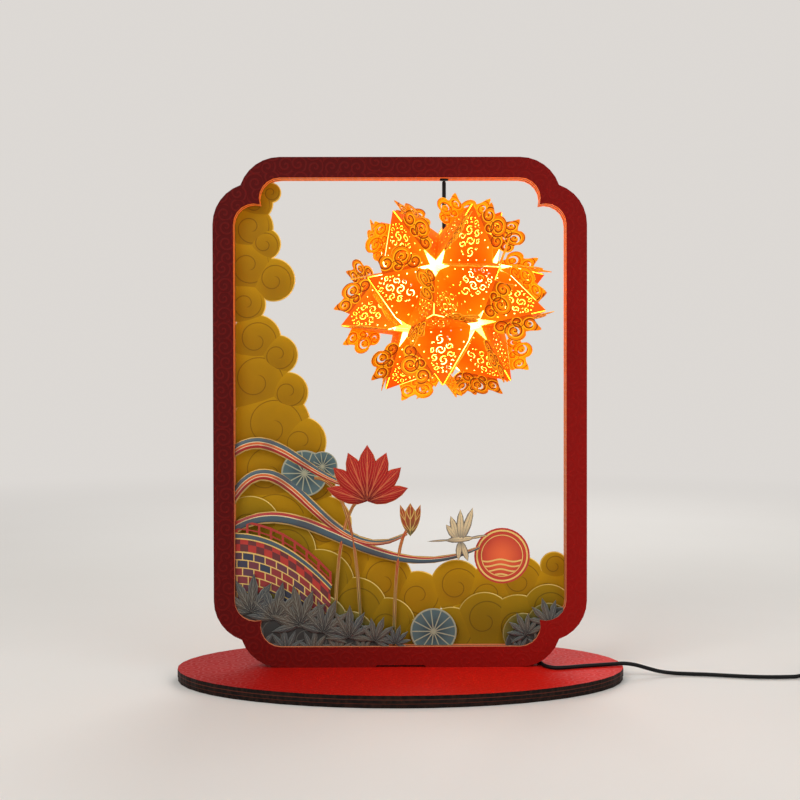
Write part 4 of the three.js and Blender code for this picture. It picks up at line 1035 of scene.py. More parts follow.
def petal(x, z, length, width, angle, border=PETAL_BORDER):
    """The middle line and half widths of a petal from its root, a border smaller than its solid."""
    middle, half_widths = [], []
    for i in range(PETAL_STEPS + 1):
        t = i / PETAL_STEPS
        along, half = length * cubic(t, *PETAL_RUN_SHARES), width * cubic(t, *PETAL_SWELL_SHARES)
        middle.append((x + along * math.cos(angle), z + along * math.sin(angle)))
        half_widths.append(max(half - border, PETAL_LEAST_HALF))
    return middle, half_widths


def curve_points(places, steps):
    """Points along the Bezier curve of three or four places, given as (x, z)."""
    def between(points, t):
        while len(points) > 1:
            pairs = zip(points, points[1:])
            points = [((1 - t) * a[0] + t * b[0], (1 - t) * a[1] + t * b[1]) for a, b in pairs]
        return points[0]
    return [between(places, i / steps) for i in range(steps + 1)]


# %% [markdown]
# ## Veins
#
# The print on a plate uses the plate's own UV map: a midrib along the middle, side veins that slant from
# it, a darker root and a paler edge. Drawing veins one by one would take a picture. The same group, with
# other counts and colours, does leaves, petals and feathers.

# %% Group: veins
vein_group, plate_place, count, slant = begin_group("veins", Plate="vector", Count="value", Slant="value")
along, across, _ = axes(plate_place)
from_middle = abs(across - 0.5)
midrib = soft_step(from_middle, 0.06, 0.02)
side_vein = soft_step(abs(fraction((along - from_middle * slant) * count) - 0.5), 0.12, 0.04)
root, edge = soft_step(along, 0.55, 0.0), soft_step(from_middle, 0.3, 0.5)
end_group(vein_group, Vein=highest(midrib, side_vein), Root=root, Edge=edge)

# %% [markdown]
# Leaves and stems also wander between two colours, as if they were printed unevenly. A broad noise
# decides which, and only the materials that name a second colour use it.

# %% Plate print
GREY_SHADOW = (0.02, 0.02, 0.02, 1)
PLATE_FIBRE, PATCHES = 1500.0, 42.0


def plate_material(name, body, root, edge, vein, count=7.0, slant=0.55, second=None):
    """Printed paper for relief plates, with its body, root, edge and veins in colours of their own."""
    material, tree, shader = new_material(name, Roughness=0.62, Specular_IOR_Level=0.2)
    place = object_place(tree)
    lines = place_group(vein_group, Plate=map_place(tree, "plate"), Count=count, Slant=slant)
    fibre = place_group(fibre_group, Place=place, Fibre=PLATE_FIBRE)
    tone = mix(soft_step(noise(place, PATCHES, detail=1.0), 0.42, 0.58), body, second) if second else body
    tone = mix(lines["Root"], tone, root)
    tone = mix(lines["Edge"] * 0.8, tone, edge)
    tone = mix(lines["Vein"] * 0.75, tone, vein)
    paint(shader, mix(fibre["Tone"] * 0.22, tone, GREY_SHADOW))
    bump(shader, fibre["Height"] * 0.25 + lines["Vein"], INK_DEPTH, 0.5)
    return material


# %% [markdown]
# ## Leaves
#
# Bushes stand at the foot of the picture on both sides, as fans of seven leaves. Blender could scatter
# leaves at random, but here each follows a leaf of the solid. It lies a little in front of the leaf
# before it, and the middle leaf comes last, on top.

# %% Leaves
SPRIG_SHARES = [
    (-0.43, -0.012, 0.085, 0.23), (-0.345, -0.012, 0.08, 0.27), (-0.265, -0.012, 0.075, 0.23),
    (-0.19, -0.012, 0.065, 0.26), (-0.115, -0.012, 0.055, 0.24), (0.36, -0.012, 0.055, 0.26),
    (0.425, -0.006, 0.065, 0.23),
    (-0.45, 0.074, 0.116, 0.239), (-0.38, 0.058, 0.116, 0.215), (-0.302, 0.047, 0.12, 0.279),
    (-0.233, 0.03, 0.105, 0.191), (-0.155, 0.019, 0.097, 0.247), (-0.078, 0.011, 0.078, 0.191),
    (-0.016, 0.005, 0.058, 0.207), (0.38, 0.025, 0.07, 0.318), (0.45, 0.047, 0.081, 0.294),
]
LEAF_SLENDER_SHARE = 0.3
LEAF_FAN_SHARES = [-0.26, 0.26, -0.17, 0.17, -0.085, 0.085, 0]
LEAF_DOME, LEAF_STEP = 0.0005, 0.00002

leaf_shapes = []
for x, z, length, turn in SPRIG_SHARES:
    for fan in LEAF_FAN_SHARES:
        reach = window_x(length) * (1 - abs(fan))
        width = reach * LEAF_SLENDER_SHARE
        leaf_shapes.append(petal(window_x(x), window_z(z), reach, width, (turn + fan) * TURN))
leaf_print = plate_material(
    "leaf_print", colour(64, 68, 70), colour(26, 28, 32), colour(104, 106, 102), colour(130, 130, 118),
    second=colour(84, 76, 66))
leaves = relief("bush_leaves", leaf_shapes, STACK_FRONT["leaves"], LEAF_DOME, LEAF_STEP)
glue(leaves, leaf_print, "leaf_paper")

# %% [markdown]
# ## Striped paper
#
# The streamers are striped along their length. Each stripe could be a plate of its own, but they are
# printed, so the across coordinate of the UV map and a colour ramp with hard steps are enough. A little
# noise lets the stripes wander, and soft shadows fall across where the paper dips.

# %% Striped paper
GOLD_INK, CRIMSON, SLATE = colour(226, 190, 104), colour(166, 26, 22), colour(62, 82, 92)
CREAM, ORANGE = colour(232, 208, 160), colour(206, 92, 30)
RED_BANDS = [
    (0.0, GOLD_INK), (0.06, CRIMSON), (0.3, CREAM), (0.36, ORANGE), (0.56, CREAM), (0.62, SLATE),
    (0.94, GOLD_INK)]
SLATE_BANDS = [(0.0, GOLD_INK), (0.06, SLATE), (0.62, CREAM), (0.7, CRIMSON), (0.94, GOLD_INK)]
WANDER_SCALE, WANDER_SHARE = 30.0, 0.16
DIPS, DIP_SHADOW, STRIPE_FIBRE = 22.0, (0.05, 0.02, 0.02, 1), 1600.0


def stripes(across, bands):
    """A colour by place across a plate. A band is where it starts and its colour."""
    made = node(across.tree, "ShaderNodeValToRGB", {"Fac": across})
    made.color_ramp.interpolation = "CONSTANT"
    stops = made.color_ramp.elements
    while len(stops) < len(bands):
        stops.new(1.0)
    for stop, (start, tint) in zip(stops, bands):
        stop.position = start
        stop.color = tint
    return Wire(made.outputs[0])


def stripe_material(name, bands):
    """Striped paper for relief plates, with shadows across it."""
    material, tree, shader = new_material(name, Roughness=0.5)
    place = object_place(tree)
    along, across, _ = axes(map_place(tree, "plate"))
    striped = stripes(across + (noise(place, WANDER_SCALE) - 0.5) * WANDER_SHARE, bands)
    fibre = place_group(fibre_group, Place=place, Fibre=STRIPE_FIBRE)
    dipped = soft_step(calc("SINE", along * DIPS), 0.1, 1.0) * 0.35
    paint(shader, mix(fibre["Tone"] * 0.2, mix(dipped, striped, DIP_SHADOW), GREY_SHADOW))
    bump(shader, fibre["Height"], FIBRE_DEPTH, 0.4)
    return material


# %% [markdown]
# ## Streamers
#
# Three long streamers cross the picture in waves, each along a Bezier curve. Each swells to its full
# width over a third of its way and then tapers to a quarter of it. The second is slate, the others red.

# %% Streamers
STREAMER_SHARES = [
    [(-0.53, 0.29), (-0.36, 0.53), (-0.24, 0.13), (0.02, 0.24)],
    [(-0.53, 0.24), (-0.29, 0.37), (-0.1, 0.1), (0.24, 0.21)],
    [(-0.53, 0.4), (-0.4, 0.5), (-0.3, 0.36), (-0.13, 0.34)],
]
STREAMER_HALF, STREAMER_BORDER, STREAMER_DOME = 0.00475, 0.0003, 0.0005
STREAMER_FULL_SHARE, STREAMER_TIP_SHARE = 0.33, 0.25
STREAMER_STEPS = 40


def streamer(places):
    """The middle line and half widths of a streamer."""
    line = curve_points(in_window(places), STREAMER_STEPS)
    past = [(i / STREAMER_STEPS - STREAMER_FULL_SHARE) / (1 - STREAMER_FULL_SHARE) for i in range(len(line))]
    taper = [1 - (1 - STREAMER_TIP_SHARE) * share**2 for share in past]
    return line, [STREAMER_HALF * share - STREAMER_BORDER for share in taper]


streamer_shapes = [streamer(places) for places in STREAMER_SHARES]
for name, shapes, bands in (
        ("streamers_red", streamer_shapes[::2], RED_BANDS),
        ("streamer_slate", streamer_shapes[1:2], SLATE_BANDS)):
    streamers = relief(name, shapes, STACK_FRONT["streamers"], STREAMER_DOME)
    glue(streamers, stripe_material(name, bands), "slate_paper")

# %% [markdown]
# ## Water plants
#
# Stems rise from the foot of the picture to the bloom, a bud and a lily pad. They stand straight and then
# lean over, so three places are enough for each. The bud is three petals, with the broad one on top.

# %% Water plants
STEM_SHARES = [(-0.2, -0.02, -0.1, 0.32), (-0.02, -0.02, 0.03, 0.25), (-0.12, -0.02, -0.26, 0.36)]
STEM_HALF, STEM_STEPS, STEM_DOME = 0.0011, 24, 0.0004
BUD_SHARES = (0.03, 0.235, 0.1)
BUD_PETALS = [(0.05, 0.3), (-0.05, 0.3), (0, 0.42)]

plant_shapes = []
for foot_x, foot_z, top_x, top_z in STEM_SHARES:
    line = curve_points(in_window([(foot_x, foot_z), (foot_x, top_z), (top_x, top_z)]), STEM_STEPS)
    plant_shapes.append((line, [STEM_HALF] * len(line)))
x, z, length = window_x(BUD_SHARES[0]), window_z(BUD_SHARES[1]), window_x(BUD_SHARES[2])
for lean, slender in BUD_PETALS:
    plant_shapes.append(petal(x, z, length, length * slender, TURN / 4 + lean * TURN))
stem_print = plate_material(
    "stem_print", colour(150, 74, 40), colour(84, 96, 60), colour(206, 150, 70), GOLD_INK, count=3.0,
    second=colour(178, 60, 34))
glue(relief("water_plants", plant_shapes, STACK_FRONT["streamers"], STEM_DOME), stem_print, "slate_paper")

# %% [markdown]
# ## Lotus
#
# A crimson lotus is glued in front of the streamers. It is a fan of seven petals from one root. Outer
# petals are shorter and are laid first, so the tall middle one ends up on top.

# %% Lotus
BLOOM_SHARES = (-0.1, 0.31)
BLOOM_SIZE, BLOOM_BORDER, BLOOM_DOME, BLOOM_STEP = 0.044, 0.0005, 0.0007, 0.0001
PETAL_LEANS = [-0.2, 0.2, -0.125, 0.125, -0.06, 0.06, 0]
PETAL_SHORTER_SHARE, PETAL_SLENDER_SHARE = 1.2, 0.42

x, z = window_x(BLOOM_SHARES[0]), window_z(BLOOM_SHARES[1])
petal_shapes = []
for lean in PETAL_LEANS:
    length = BLOOM_SIZE * (1 - PETAL_SHORTER_SHARE * abs(lean))
    angle = TURN / 4 - lean * TURN
    petal_shapes.append(petal(x, z, length, length * PETAL_SLENDER_SHARE, angle, border=BLOOM_BORDER))
petal_print = plate_material(
    "petal_print", CRIMSON, colour(92, 8, 10), colour(180, 34, 24), colour(214, 112, 70),
    count=5.0, slant=1.4)
bloom = relief("lotus_petals", petal_shapes, STACK_FRONT["glued"], BLOOM_DOME, BLOOM_STEP)
glue(bloom, petal_print, "crimson_paper")

# %% [markdown]
# ## Crane
#
# A pale crane flies beside it. As a single plate it would look flat, so its neck, body, legs and wings
# are nine narrow petals from a few roots along its back. Each row says where one starts and how long and
# wide it is, in shares of the crane's size, and which way it points, in turns.

# %% Crane
CRANE_SHARES = (0.2, 0.225)
CRANE_SIZE, CRANE_BORDER, CRANE_DOME = 0.034, 0.00035, 0.0005
CRANE_PARTS = [
    (-0.3, 0.02, -0.6, 0.05, 0.01), (-0.2, 0, 0.46, 0.18, 0.35), (-0.18, 0, 0.6, 0.2, 0.3),
    (-0.16, 0, 0.46, 0.16, -0.26), (-0.12, 0, 0.5, 0.16, -0.2), (-0.5, 0, 0.72, 0.17, 0.015),
    (0.02, 0.04, 0.5, 0.07, 0.03), (-0.14, 0, 0.72, 0.2, 0.25), (-0.1, 0, 0.8, 0.2, 0.2),
]

x, z = window_x(CRANE_SHARES[0]), window_z(CRANE_SHARES[1])
feather_shapes = []
for *shares, turn in CRANE_PARTS:
    along, above, length, width = [share * CRANE_SIZE for share in shares]
    feather_shapes.append(petal(x + along, z + above, length, width, turn * TURN, border=CRANE_BORDER))
feather_print = plate_material(
    "feather_print", CREAM, colour(150, 140, 120), colour(96, 100, 104), colour(140, 132, 120),
    count=9.0, slant=0.8)
glue(relief("crane_feathers", feather_shapes, STACK_FRONT["glued"], CRANE_DOME), feather_print, "cream_paper")

# %% [markdown]
# ## Bridge
#
# Half of an arched bridge comes out from behind the left bar. Its deck follows a parabola, so the height
# over the deck tells the shader where it is: railing above, the deck line, a band of small checks below,
# and courses of coloured stone under that. Brick and checker textures do the repeating parts.

# %% Bridge
BRIDGE_LEFT, BRIDGE_SPAN, BRIDGE_RISE, BRIDGE_FOOT = -0.1287, 0.074, 0.040, 0.046
DECK_TOP = SILL + BRIDGE_FOOT + BRIDGE_RISE
DECK_HALF, DECK_TRIM, TRIM_HALF = 0.0026, 0.0021, 0.0005
COURSE_TOP, COURSE_TRIM_HALF = -0.0125, 0.0006
STONE_WIDTH, STONE_HEIGHT, MORTAR = 0.0088, 0.0062, 0.00045
CHECKS_PER_METRE, BRIDGE_FIBRE = 160.0, 1400.0
RED_SHADOW = (0.02, 0.01, 0.01, 1)

bridge_print, tree, shader = new_material("bridge_print", Roughness=0.55)
place = object_place(tree)
x, _, z = axes(place)
run = (x - BRIDGE_LEFT) / BRIDGE_SPAN
over_deck = z - (DECK_TOP - run * run * BRIDGE_RISE)
stones = node(tree, "ShaderNodeTexBrick", {
    "Vector": vector(x, over_deck), "Scale": 1.0, "Mortar Size": MORTAR, "Brick Width": STONE_WIDTH,
    "Row Height": STONE_HEIGHT, "Color1": colour(150, 30, 24), "Color2": colour(30, 48, 70),
    "Mortar": GOLD_INK}).outputs
checks = node(tree, "ShaderNodeTexChecker", {
    "Vector": vector(x, over_deck), "Scale": CHECKS_PER_METRE, "Color1": colour(176, 40, 28),
    "Color2": colour(96, 28, 30)}).outputs
tone = mix(over_deck < COURSE_TOP, Wire(checks["Color"]), Wire(stones["Color"]))
tone = mix(abs(over_deck) < DECK_HALF, tone, SLATE)
tone = mix(over_deck > DECK_HALF, tone, colour(170, 40, 26))
trim = highest(near(abs(over_deck), DECK_TRIM, TRIM_HALF), near(over_deck, COURSE_TOP, COURSE_TRIM_HALF))
tone = mix(trim, tone, GOLD_INK)
fibre = place_group(fibre_group, Place=place, Fibre=BRIDGE_FIBRE)
paint(shader, mix(fibre["Tone"] * 0.25, tone, RED_SHADOW))
bump(shader, trim + Wire(stones["Fac"]), LINE_DEPTH, 0.5)
dress(bridge_print, "arched_bridge")

# %% [markdown]
# ## Sun
#
# The sun is a disc of red paper with two printed rings and a few wavy bands of mist on its lower half.
# The distance from its middle gives the rings, and the height with a sine in it gives the mist.

# %% Sun
SUN_SHARES = (0.31, 0.19, 0.085)
SUN_RINGS = [(0.9, 0.03), (0.74, 0.015)]
MIST_TOP, MIST_REACH, MIST_PER_METRE, MIST_HALF = -0.002, 0.72, 260.0, 0.16
SWAY, SWAY_PER_METRE = 0.0009, 300.0

sun_print, tree, shader = new_material("sun_print", Roughness=0.6)
x, _, z = axes(object_place(tree))
offset = away_from(vector(x, z), (window_x(SUN_SHARES[0]), window_z(SUN_SHARES[1]), 0))
reach = length_of(offset) / window_x(SUN_SHARES[2])
bands = fraction((z + calc("SINE", x * SWAY_PER_METRE) * SWAY) * MIST_PER_METRE)
mist = near(bands, 0.5, MIST_HALF) * (axes(offset)[1] < MIST_TOP) * (reach < MIST_REACH)
lines = highest(*[near(reach, ring, half) for ring, half in SUN_RINGS], mist)
tone = mix(soft_step(reach, 0.0, 1.0), colour(226, 96, 44), colour(182, 44, 24))
paint(shader, mix(lines, tone, GOLD_INK))
bump(shader, lines, LINE_DEPTH, 0.5)
dress(sun_print, "sun_disc")

# %% [markdown]
# ## The paper ball
#
# Thirty equal sheets make the ball. Each is folded once along a valley and stands between two star
# openings, and each of its halves is one side of a three-sided point. Its angles come from an icosahedron
# and the golden ratio, and its outline runs along the ridge with a scroll-edged flap past it. Such a
# sheet could be modelled in place, but it is far simpler to draw flat and to fold.

# %% Ball sheet outline
STAR_RADIUS, TIP_RADIUS = 53.2, 85
PAPER, RIDGE_GAP, STAR_NECK, STAR_ARM, FLAP_WIDTH = 0.5, 0.75, 5.5, 13, 19
FLAP_STEPS = 3
FLAP_SHARES = [
    (0.26, 0), (0.205, 0.2), (0.215, 0.43), (0.28, 0.56), (0.34, 0.59), (0.36, 0.82), (0.44, 0.98),
    (0.54, 0.98), (0.605, 0.84), (0.625, 0.68), (0.84, 0.74), (0.8, 0.42), (0.77, 0),
]

golden = (1 + math.sqrt(5)) / 2
fold_length = 2 * STAR_RADIUS / math.sqrt(golden * math.sqrt(5))
fold_radius = fold_length * golden / 2
face_angle = math.acos(golden / math.sqrt(3))
tip_out, tip_up = TIP_RADIUS * math.sin(face_angle), TIP_RADIUS * math.cos(face_angle) - fold_radius
sheet_height = math.hypot(tip_out, tip_up)
sheet_slope = math.atan2(tip_up, tip_out)
star = Vector((fold_length / 2, 0))
tip = Vector((0, sheet_height))
ridge_length = (tip - star).length
ridge_way = (tip - star).normalized()
ridge_out = Vector((ridge_way.y, -ridge_way.x))
print(f"fold {fold_length:.1f} mm, ridge {ridge_length:.1f} mm, half {sheet_height:.1f} mm high")


def on_ridge(along, beyond):
    """A place by its distance along the right ridge from the star, and past it. Both in mm."""
    return star + ridge_way * along + ridge_out * beyond


def mirrored(place):
    return Vector((-place.x, place.y))


def half_outline():
    """One half of the sheet, from the right end of the fold over the flap and the tip to the left."""
    flap = [
        on_ridge(along * ridge_length, beyond * FLAP_WIDTH if beyond else -RIDGE_GAP)
        for along, beyond in FLAP_SHARES]
    arm = on_ridge(STAR_ARM, -RIDGE_GAP)
    top = Vector((0, sheet_height - RIDGE_GAP * ridge_length / star.x))
    return [Vector((star.x - STAR_NECK, 0)), arm, *smooth_route(flap, FLAP_STEPS), top, mirrored(arm)]


# %% [markdown]
# ## Pierced strokes
#
# The pierced scroll is made of commas, the curl that Chinese cloud scrolls are built from: a stroke that
# starts round, winds inwards and runs out thin. Holes could be painted with alpha, but then they would
# have no edges for the light to catch. So each comma and each dot is an outline.

# %% Commas and dots
COMMA_STEPS, COMMA_WIND, COMMA_LEAST_HALF = 9, 0.62, 0.1
COMMA_START, COMMA_SPAN, COMMA_POWER = 0.08, 0.9, 0.8
DOT_RADIUS, DOT_SIDES, DOT_INSET = 0.6, 8, 3.4
RIDGE_DOTS = [16, 22.5, 29, 35.5, 42]
FOLD_DOTS, FOLD_DOT_Y = [-15, -7.5, 0, 7.5, 15], 2.4


def comma(x, y, size, start, sweep, weight):
    """The outline of a curled stroke, in mm. start and sweep are in turns, weight is a share of size."""
    line, widths = [], []
    for i in range(COMMA_STEPS + 1):
        t = i / COMMA_STEPS
        angle = (start + sweep * t) * TURN
        reach = size * (1 - COMMA_WIND * t)
        line.append(Vector((x + reach * math.cos(angle), y + reach * math.sin(angle))))
        swell = math.sin(math.pi * (COMMA_START + COMMA_SPAN * t) ** COMMA_POWER)
        widths.append(size * weight * swell / 2 + COMMA_LEAST_HALF)
    outer, inner = [], []
    for i, point in enumerate(line):
        along = (line[min(i + 1, COMMA_STEPS)] - line[max(i - 1, 0)]).normalized()
        aside = Vector((-along.y, along.x)) * widths[i]
        outer.append(point + aside)
        inner.append(point - aside)
    return outer + inner[::-1]


def dot(place):
    angles = [i / DOT_SIDES * TURN for i in range(DOT_SIDES)]
    return [place + Vector((DOT_RADIUS * math.cos(a), DOT_RADIUS * math.sin(a))) for a in angles]


def dot_places():
    """Rows of dots along the fold and along both ridges."""
    places = [Vector((x, FOLD_DOT_Y)) for x in FOLD_DOTS]
    for along in RIDGE_DOTS:
        place = on_ridge(along, -DOT_INSET)
        places += [place, mirrored(place)]
    return places


# %% [markdown]
# A face is filled by throwing curls at it: a place in an oval is drawn at random, large curls first, and
# a curl stays where it touches nothing. A seeded draw gives the same face on every run. No two holes may
# touch, because Blender leaves a curve unfilled where outlines cross.

# %% Holes of a ball sheet
FACE_MIDDLE, FACE_REACH = (0, 20.5), (10, 17)
CURL_SIZES = [3.4, 2.6, 1.9, 1.35, 0.95, 0.7]
TWO_STROKES_OVER = 1.8
THIN_WEIGHT, THICK_WEIGHT, FLAP_WEIGHT = 0.2, 0.42, 0.3
CURL_SEED, CURL_TRIES, CURL_GAP = 7, 500, 0.14
CURL_SWEEPS = (0.6, -0.6, 0.52, -0.52)
FLAP_COMMAS = [
    (0.47, 0.52, 5.0, 0.92, 0.66), (0.3, 0.27, 2.6, 0.35, 0.6), (0.7, 0.42, 3.0, 0.6, -0.62),
    (0.47, 0.2, 2.0, 0.5, 0.55),
]


def face_strokes(dots):
    """Curls thrown into an oval on the face, clear of the dots and of each other."""
    chance = random.Random(CURL_SEED)
    placed = [(place.x, place.y, DOT_RADIUS + CURL_GAP) for place in dots]
    strokes = []
    for size in CURL_SIZES:
        double = size > TWO_STROKES_OVER
        weight = THIN_WEIGHT if double else THICK_WEIGHT
        room = size * (1 + weight / 2) + COMMA_LEAST_HALF + CURL_GAP
        for _ in range(CURL_TRIES):
            angle, reach = chance.random() * TURN, math.sqrt(chance.random())
            start, sweep = chance.random(), chance.choice(CURL_SWEEPS)
            x = FACE_MIDDLE[0] + (FACE_REACH[0] - room) * reach * math.cos(angle)
            y = FACE_MIDDLE[1] + (FACE_REACH[1] - room) * reach * math.sin(angle)
            if any(math.hypot(x - a, y - b) <= room + c for a, b, c in placed):
                continue
            placed.append((x, y, room))
            for begin in (start, start + 0.5) if double else (start,):
                strokes.append(comma(x, y, size, begin, sweep, weight))
    return strokes


def half_holes():
    """All holes in one half of the sheet: strokes, dots and the commas in its flap."""
    dots = dot_places()
    strokes = face_strokes(dots)
    print(len(strokes), "strokes and", len(dots), "dots in a face")
    holes = strokes + [dot(place) for place in dots]
    for along, beyond, size, start, sweep in FLAP_COMMAS:
        place = on_ridge(along * ridge_length, beyond * FLAP_WIDTH)
        holes.append(comma(place.x, place.y, size, start, sweep, FLAP_WEIGHT))
    return holes


# %% [markdown]
# ## Filling a sheet
#
# A flat curve with holes is what Blender's 2D curves are for: every closed spline inside another cuts a
# hole, and the fill gets thickness from extrude. Cutting the holes with booleans would take minutes. The
# second half of the sheet is the first one turned round, so each outline is also used with its signs
# changed.

# %% Fill one sheet
def filled_sheet():
    """The flat sheet with its holes, in mm."""
    curve = bpy.data.curves.new("sheet_outline", "CURVE")
    curve.dimensions = "2D"
    curve.fill_mode = "BOTH"
    curve.extrude = PAPER / 2
    upper = half_outline()
    outlines = [upper + [-point for point in upper]]
    for hole in half_holes():
        outlines += [hole, [-point for point in hole]]
    for outline in outlines:
        spline = curve.splines.new("POLY")
        spline.points.add(len(outline) - 1)
        for point, place in zip(spline.points, outline):
            point.co = (place.x, place.y, 0, 1)
        spline.use_cyclic_u = True
    holder = bpy.data.objects.new("sheet_outline", curve)
    bpy.context.collection.objects.link(holder)
    mesh = bpy.data.meshes.new_from_object(holder)
    bpy.data.objects.remove(holder)
    bpy.data.curves.remove(curve)
    return mesh


# %% [markdown]
# ## Folding a sheet
#
# The sheet's faces are divided along the fold first, so that it has corners to bend at. Before it is
# bent, each corner writes its flat place into two UV maps: one across the sheet, and one along and past
# the ridge. The prints are drawn in these maps and follow the paper into the fold.

# %% Fold one sheet
SHEET_WELD, FOLD_CUT, FOLD_REACH = 0.001, 0.0001, 0.0002
SHEET_MAP_SIZE = 100
OUTSIDE, INSIDE, CUT_EDGE = 0, 1, 2
FLATNESS = 0.5
MITRE = 1 / math.cos(sheet_slope)


def side_of(face):
    """Which of the three papers a flat face gets."""
    if face.normal.z > FLATNESS:
        return OUTSIDE
    return INSIDE if face.normal.z < -FLATNESS else CUT_EDGE


def map_sheet(mesh):
    """Writes the flat place of every corner into the maps, turned to the upper half."""
    sheet_map, ridge_map = mesh.loops.layers.uv.new("sheet"), mesh.loops.layers.uv.new("ridge")
    for face in mesh.faces:
        half = 1 if face.calc_center_median().y > 0 else -1
        face.material_index = side_of(face)
        for loop in face.loops:
            place = Vector((loop.vert.co.x, loop.vert.co.y)) * half
            from_star = place - star
            along, beyond = from_star.dot(ridge_way), from_star.dot(ridge_out)
            loop[sheet_map].uv = (place.x / SHEET_MAP_SIZE + 0.5, place.y / SHEET_MAP_SIZE)
            loop[ridge_map].uv = (along / ridge_length, beyond / FLAP_WIDTH)


def bend(place):
    """Where a place of the flat sheet comes by folding. On the fold the paper is mitred."""
    x, y, z = place
    if abs(y) < FOLD_REACH:
        return Vector((x, 0, z * MITRE))
    return Matrix.Rotation(math.copysign(sheet_slope, y), 3, "X") @ Vector((x, y, z))


def folded_sheet():
    """The mesh that all thirty pieces share, in metres."""
    flat = filled_sheet()
    mesh = bmesh.new()
    mesh.from_mesh(flat)
    bpy.data.meshes.remove(flat)
    bmesh.ops.remove_doubles(mesh, verts=mesh.verts, dist=SHEET_WELD)
    bmesh.ops.bisect_plane(
        mesh, geom=everything(mesh), plane_co=(0, 0, 0), plane_no=(0, 1, 0), dist=FOLD_CUT)
    map_sheet(mesh)
    for vert in mesh.verts:
        vert.co = bend(vert.co)
        vert.co *= MM
    data = bpy.data.meshes.new("ball_sheet")
    mesh.to_mesh(data)
    mesh.free()
    return data


ball_sheet = folded_sheet()
print("ball sheet:", len(ball_sheet.polygons), "faces")

# %% [markdown]
# ## Scrolls on the flaps
#
# Burnt lines wind over the flaps, with a paler shine beside them. They are spirals again, as in the
# embossing, but each has its place, so four of them are put down one by one in the sheet's ridge map.

# %% Group: flap scroll
FLAP_CURLS = [
    (0.47, 0.55, 0.44, 1.0), (0.3, 0.28, 0.3, -1.0), (0.7, 0.42, 0.34, -1.0), (0.55, 0.2, 0.26, 1.0)]
FLAP_CURL_WIND = 5.2
RIDGE_ASPECT = ridge_length / FLAP_WIDTH


def flap_curl(along, beyond, curl):
    """The line of one curl and the shine beside it."""
    middle_along, middle_beyond, size, handed = curl
    dx, dy = (along - middle_along) * RIDGE_ASPECT, beyond - middle_beyond
    apart = calc("SQRT", dx * dx + dy * dy)
    wound = fraction(apart * FLAP_CURL_WIND + turns(dx, dy) * handed)
    inside = apart < size
    line = soft_step(abs(wound - 0.5), 0.17, 0.09) * inside
    return line, soft_step(abs(wound - 0.8), 0.14, 0.06) * inside


flap_group, ridge_place = begin_group("flap_scroll", Ridge_Map="vector")
along, beyond, _ = axes(ridge_place)
on_flap = beyond > 0.0
lines, shines = zip(*[flap_curl(along, beyond, curl) for curl in FLAP_CURLS])
end_group(
    flap_group, Line=highest(*lines) * on_flap, Shine=highest(*shines) * on_flap, Flap=on_flap,
    Root=soft_step(beyond, 0.5, 0.0))

# %% [markdown]
# ## Ball paper
#
# Lit from inside, thin paper glows: deep orange outside, paler near the openings, and nearly white inside,
# where the bulb shines on it. The flaps stand out in the room and glow least. Translucent shading would
# need a bright lamp in the ball and loses its look under other light, so the glow is in the paper's own
# colour and emission. A strength is one number for a whole surface, so flaps get a dimmer colour instead.

# %% Ball paper
BALL_FIBRE = 140.0
SHINE, ORANGE_SHADOW = colour(255, 192, 24), (0.25, 0.05, 0.0, 1)
FLAP_GLOW = 0.45


def ball_paper(name, face_colours, flap_colours, line_colour, glow, line_share):
    """One side of the ball's paper. Its faces glow with strength glow, and its flaps with FLAP_GLOW."""
    material, tree, shader = new_material(name, Roughness=0.7, Specular_IOR_Level=0.12)
    sheet_place = map_place(tree, "sheet")
    scroll = place_group(flap_group, Ridge_Map=map_place(tree, "ridge"))
    fibre = place_group(fibre_group, Place=sheet_place, Fibre=BALL_FIBRE)
    across, upward, _ = axes(sheet_place)
    face = mix(soft_step(abs(across - 0.5), 0.02, 0.26), face_colours[0], face_colours[1])
    face = mix(soft_step(upward, 0.1, 0.45), face, face_colours[2])
    # Painted shade: a flap is darker at its root by the ridge and paler further out.
    paper = mix(scroll["Flap"], face, mix(scroll["Root"], flap_colours[0], flap_colours[1]))
    paper = mix(scroll["Shine"] * 0.75, paper, SHINE)
    paper = mix(scroll["Line"] * line_share, paper, line_colour)
    paper = mix(fibre["Tone"] * 0.2, paper, ORANGE_SHADOW)
    paint(shader, paper)
    light_up(shader, mix(scroll["Flap"] * (1 - FLAP_GLOW / glow), paper, BLACK), glow)
    bump(shader, fibre["Height"] * 0.2 + scroll["Line"], LINE_DEPTH, 0.4)
    return material


outer_paper = ball_paper(
    "ball_outer_paper", [colour(252, 98, 0), colour(255, 134, 4), colour(246, 86, 0)],
    [colour(224, 118, 0), colour(184, 74, 0)], colour(108, 38, 0), 0.5, 0.9)
inner_paper = ball_paper(
    "ball_inner_paper", [colour(255, 220, 100), colour(255, 248, 210), colour(255, 204, 56)],
    [colour(252, 160, 12), colour(244, 130, 4)], colour(150, 62, 0), 3.2, 0.8)

# %% [markdown]
# The cut edges of the holes show as bright threads, a painted glow as if lit by the bulb, scorched here
# and there. They are narrow, so a noise between two tones is enough. The sheet takes its three materials
# in the order of its sides.

# %% Cut edge
CUT_GLOW, SCORCH_SCALE = 0.45, 600.0

cut_edge, tree, shader = new_material("ball_cut_edge", Roughness=0.7)
scorch = soft_step(noise(object_place(tree), SCORCH_SCALE, detail=3.0), 0.35, 0.65)
tone = mix(scorch, colour(214, 110, 4), colour(255, 188, 24))
paint(shader, tone)
# Painted glow: the cut edges give off light of their own, as if the bulb shone on them.
light_up(shader, tone, CUT_GLOW)
for material in (outer_paper, inner_paper, cut_edge):
    ball_sheet.materials.append(material)

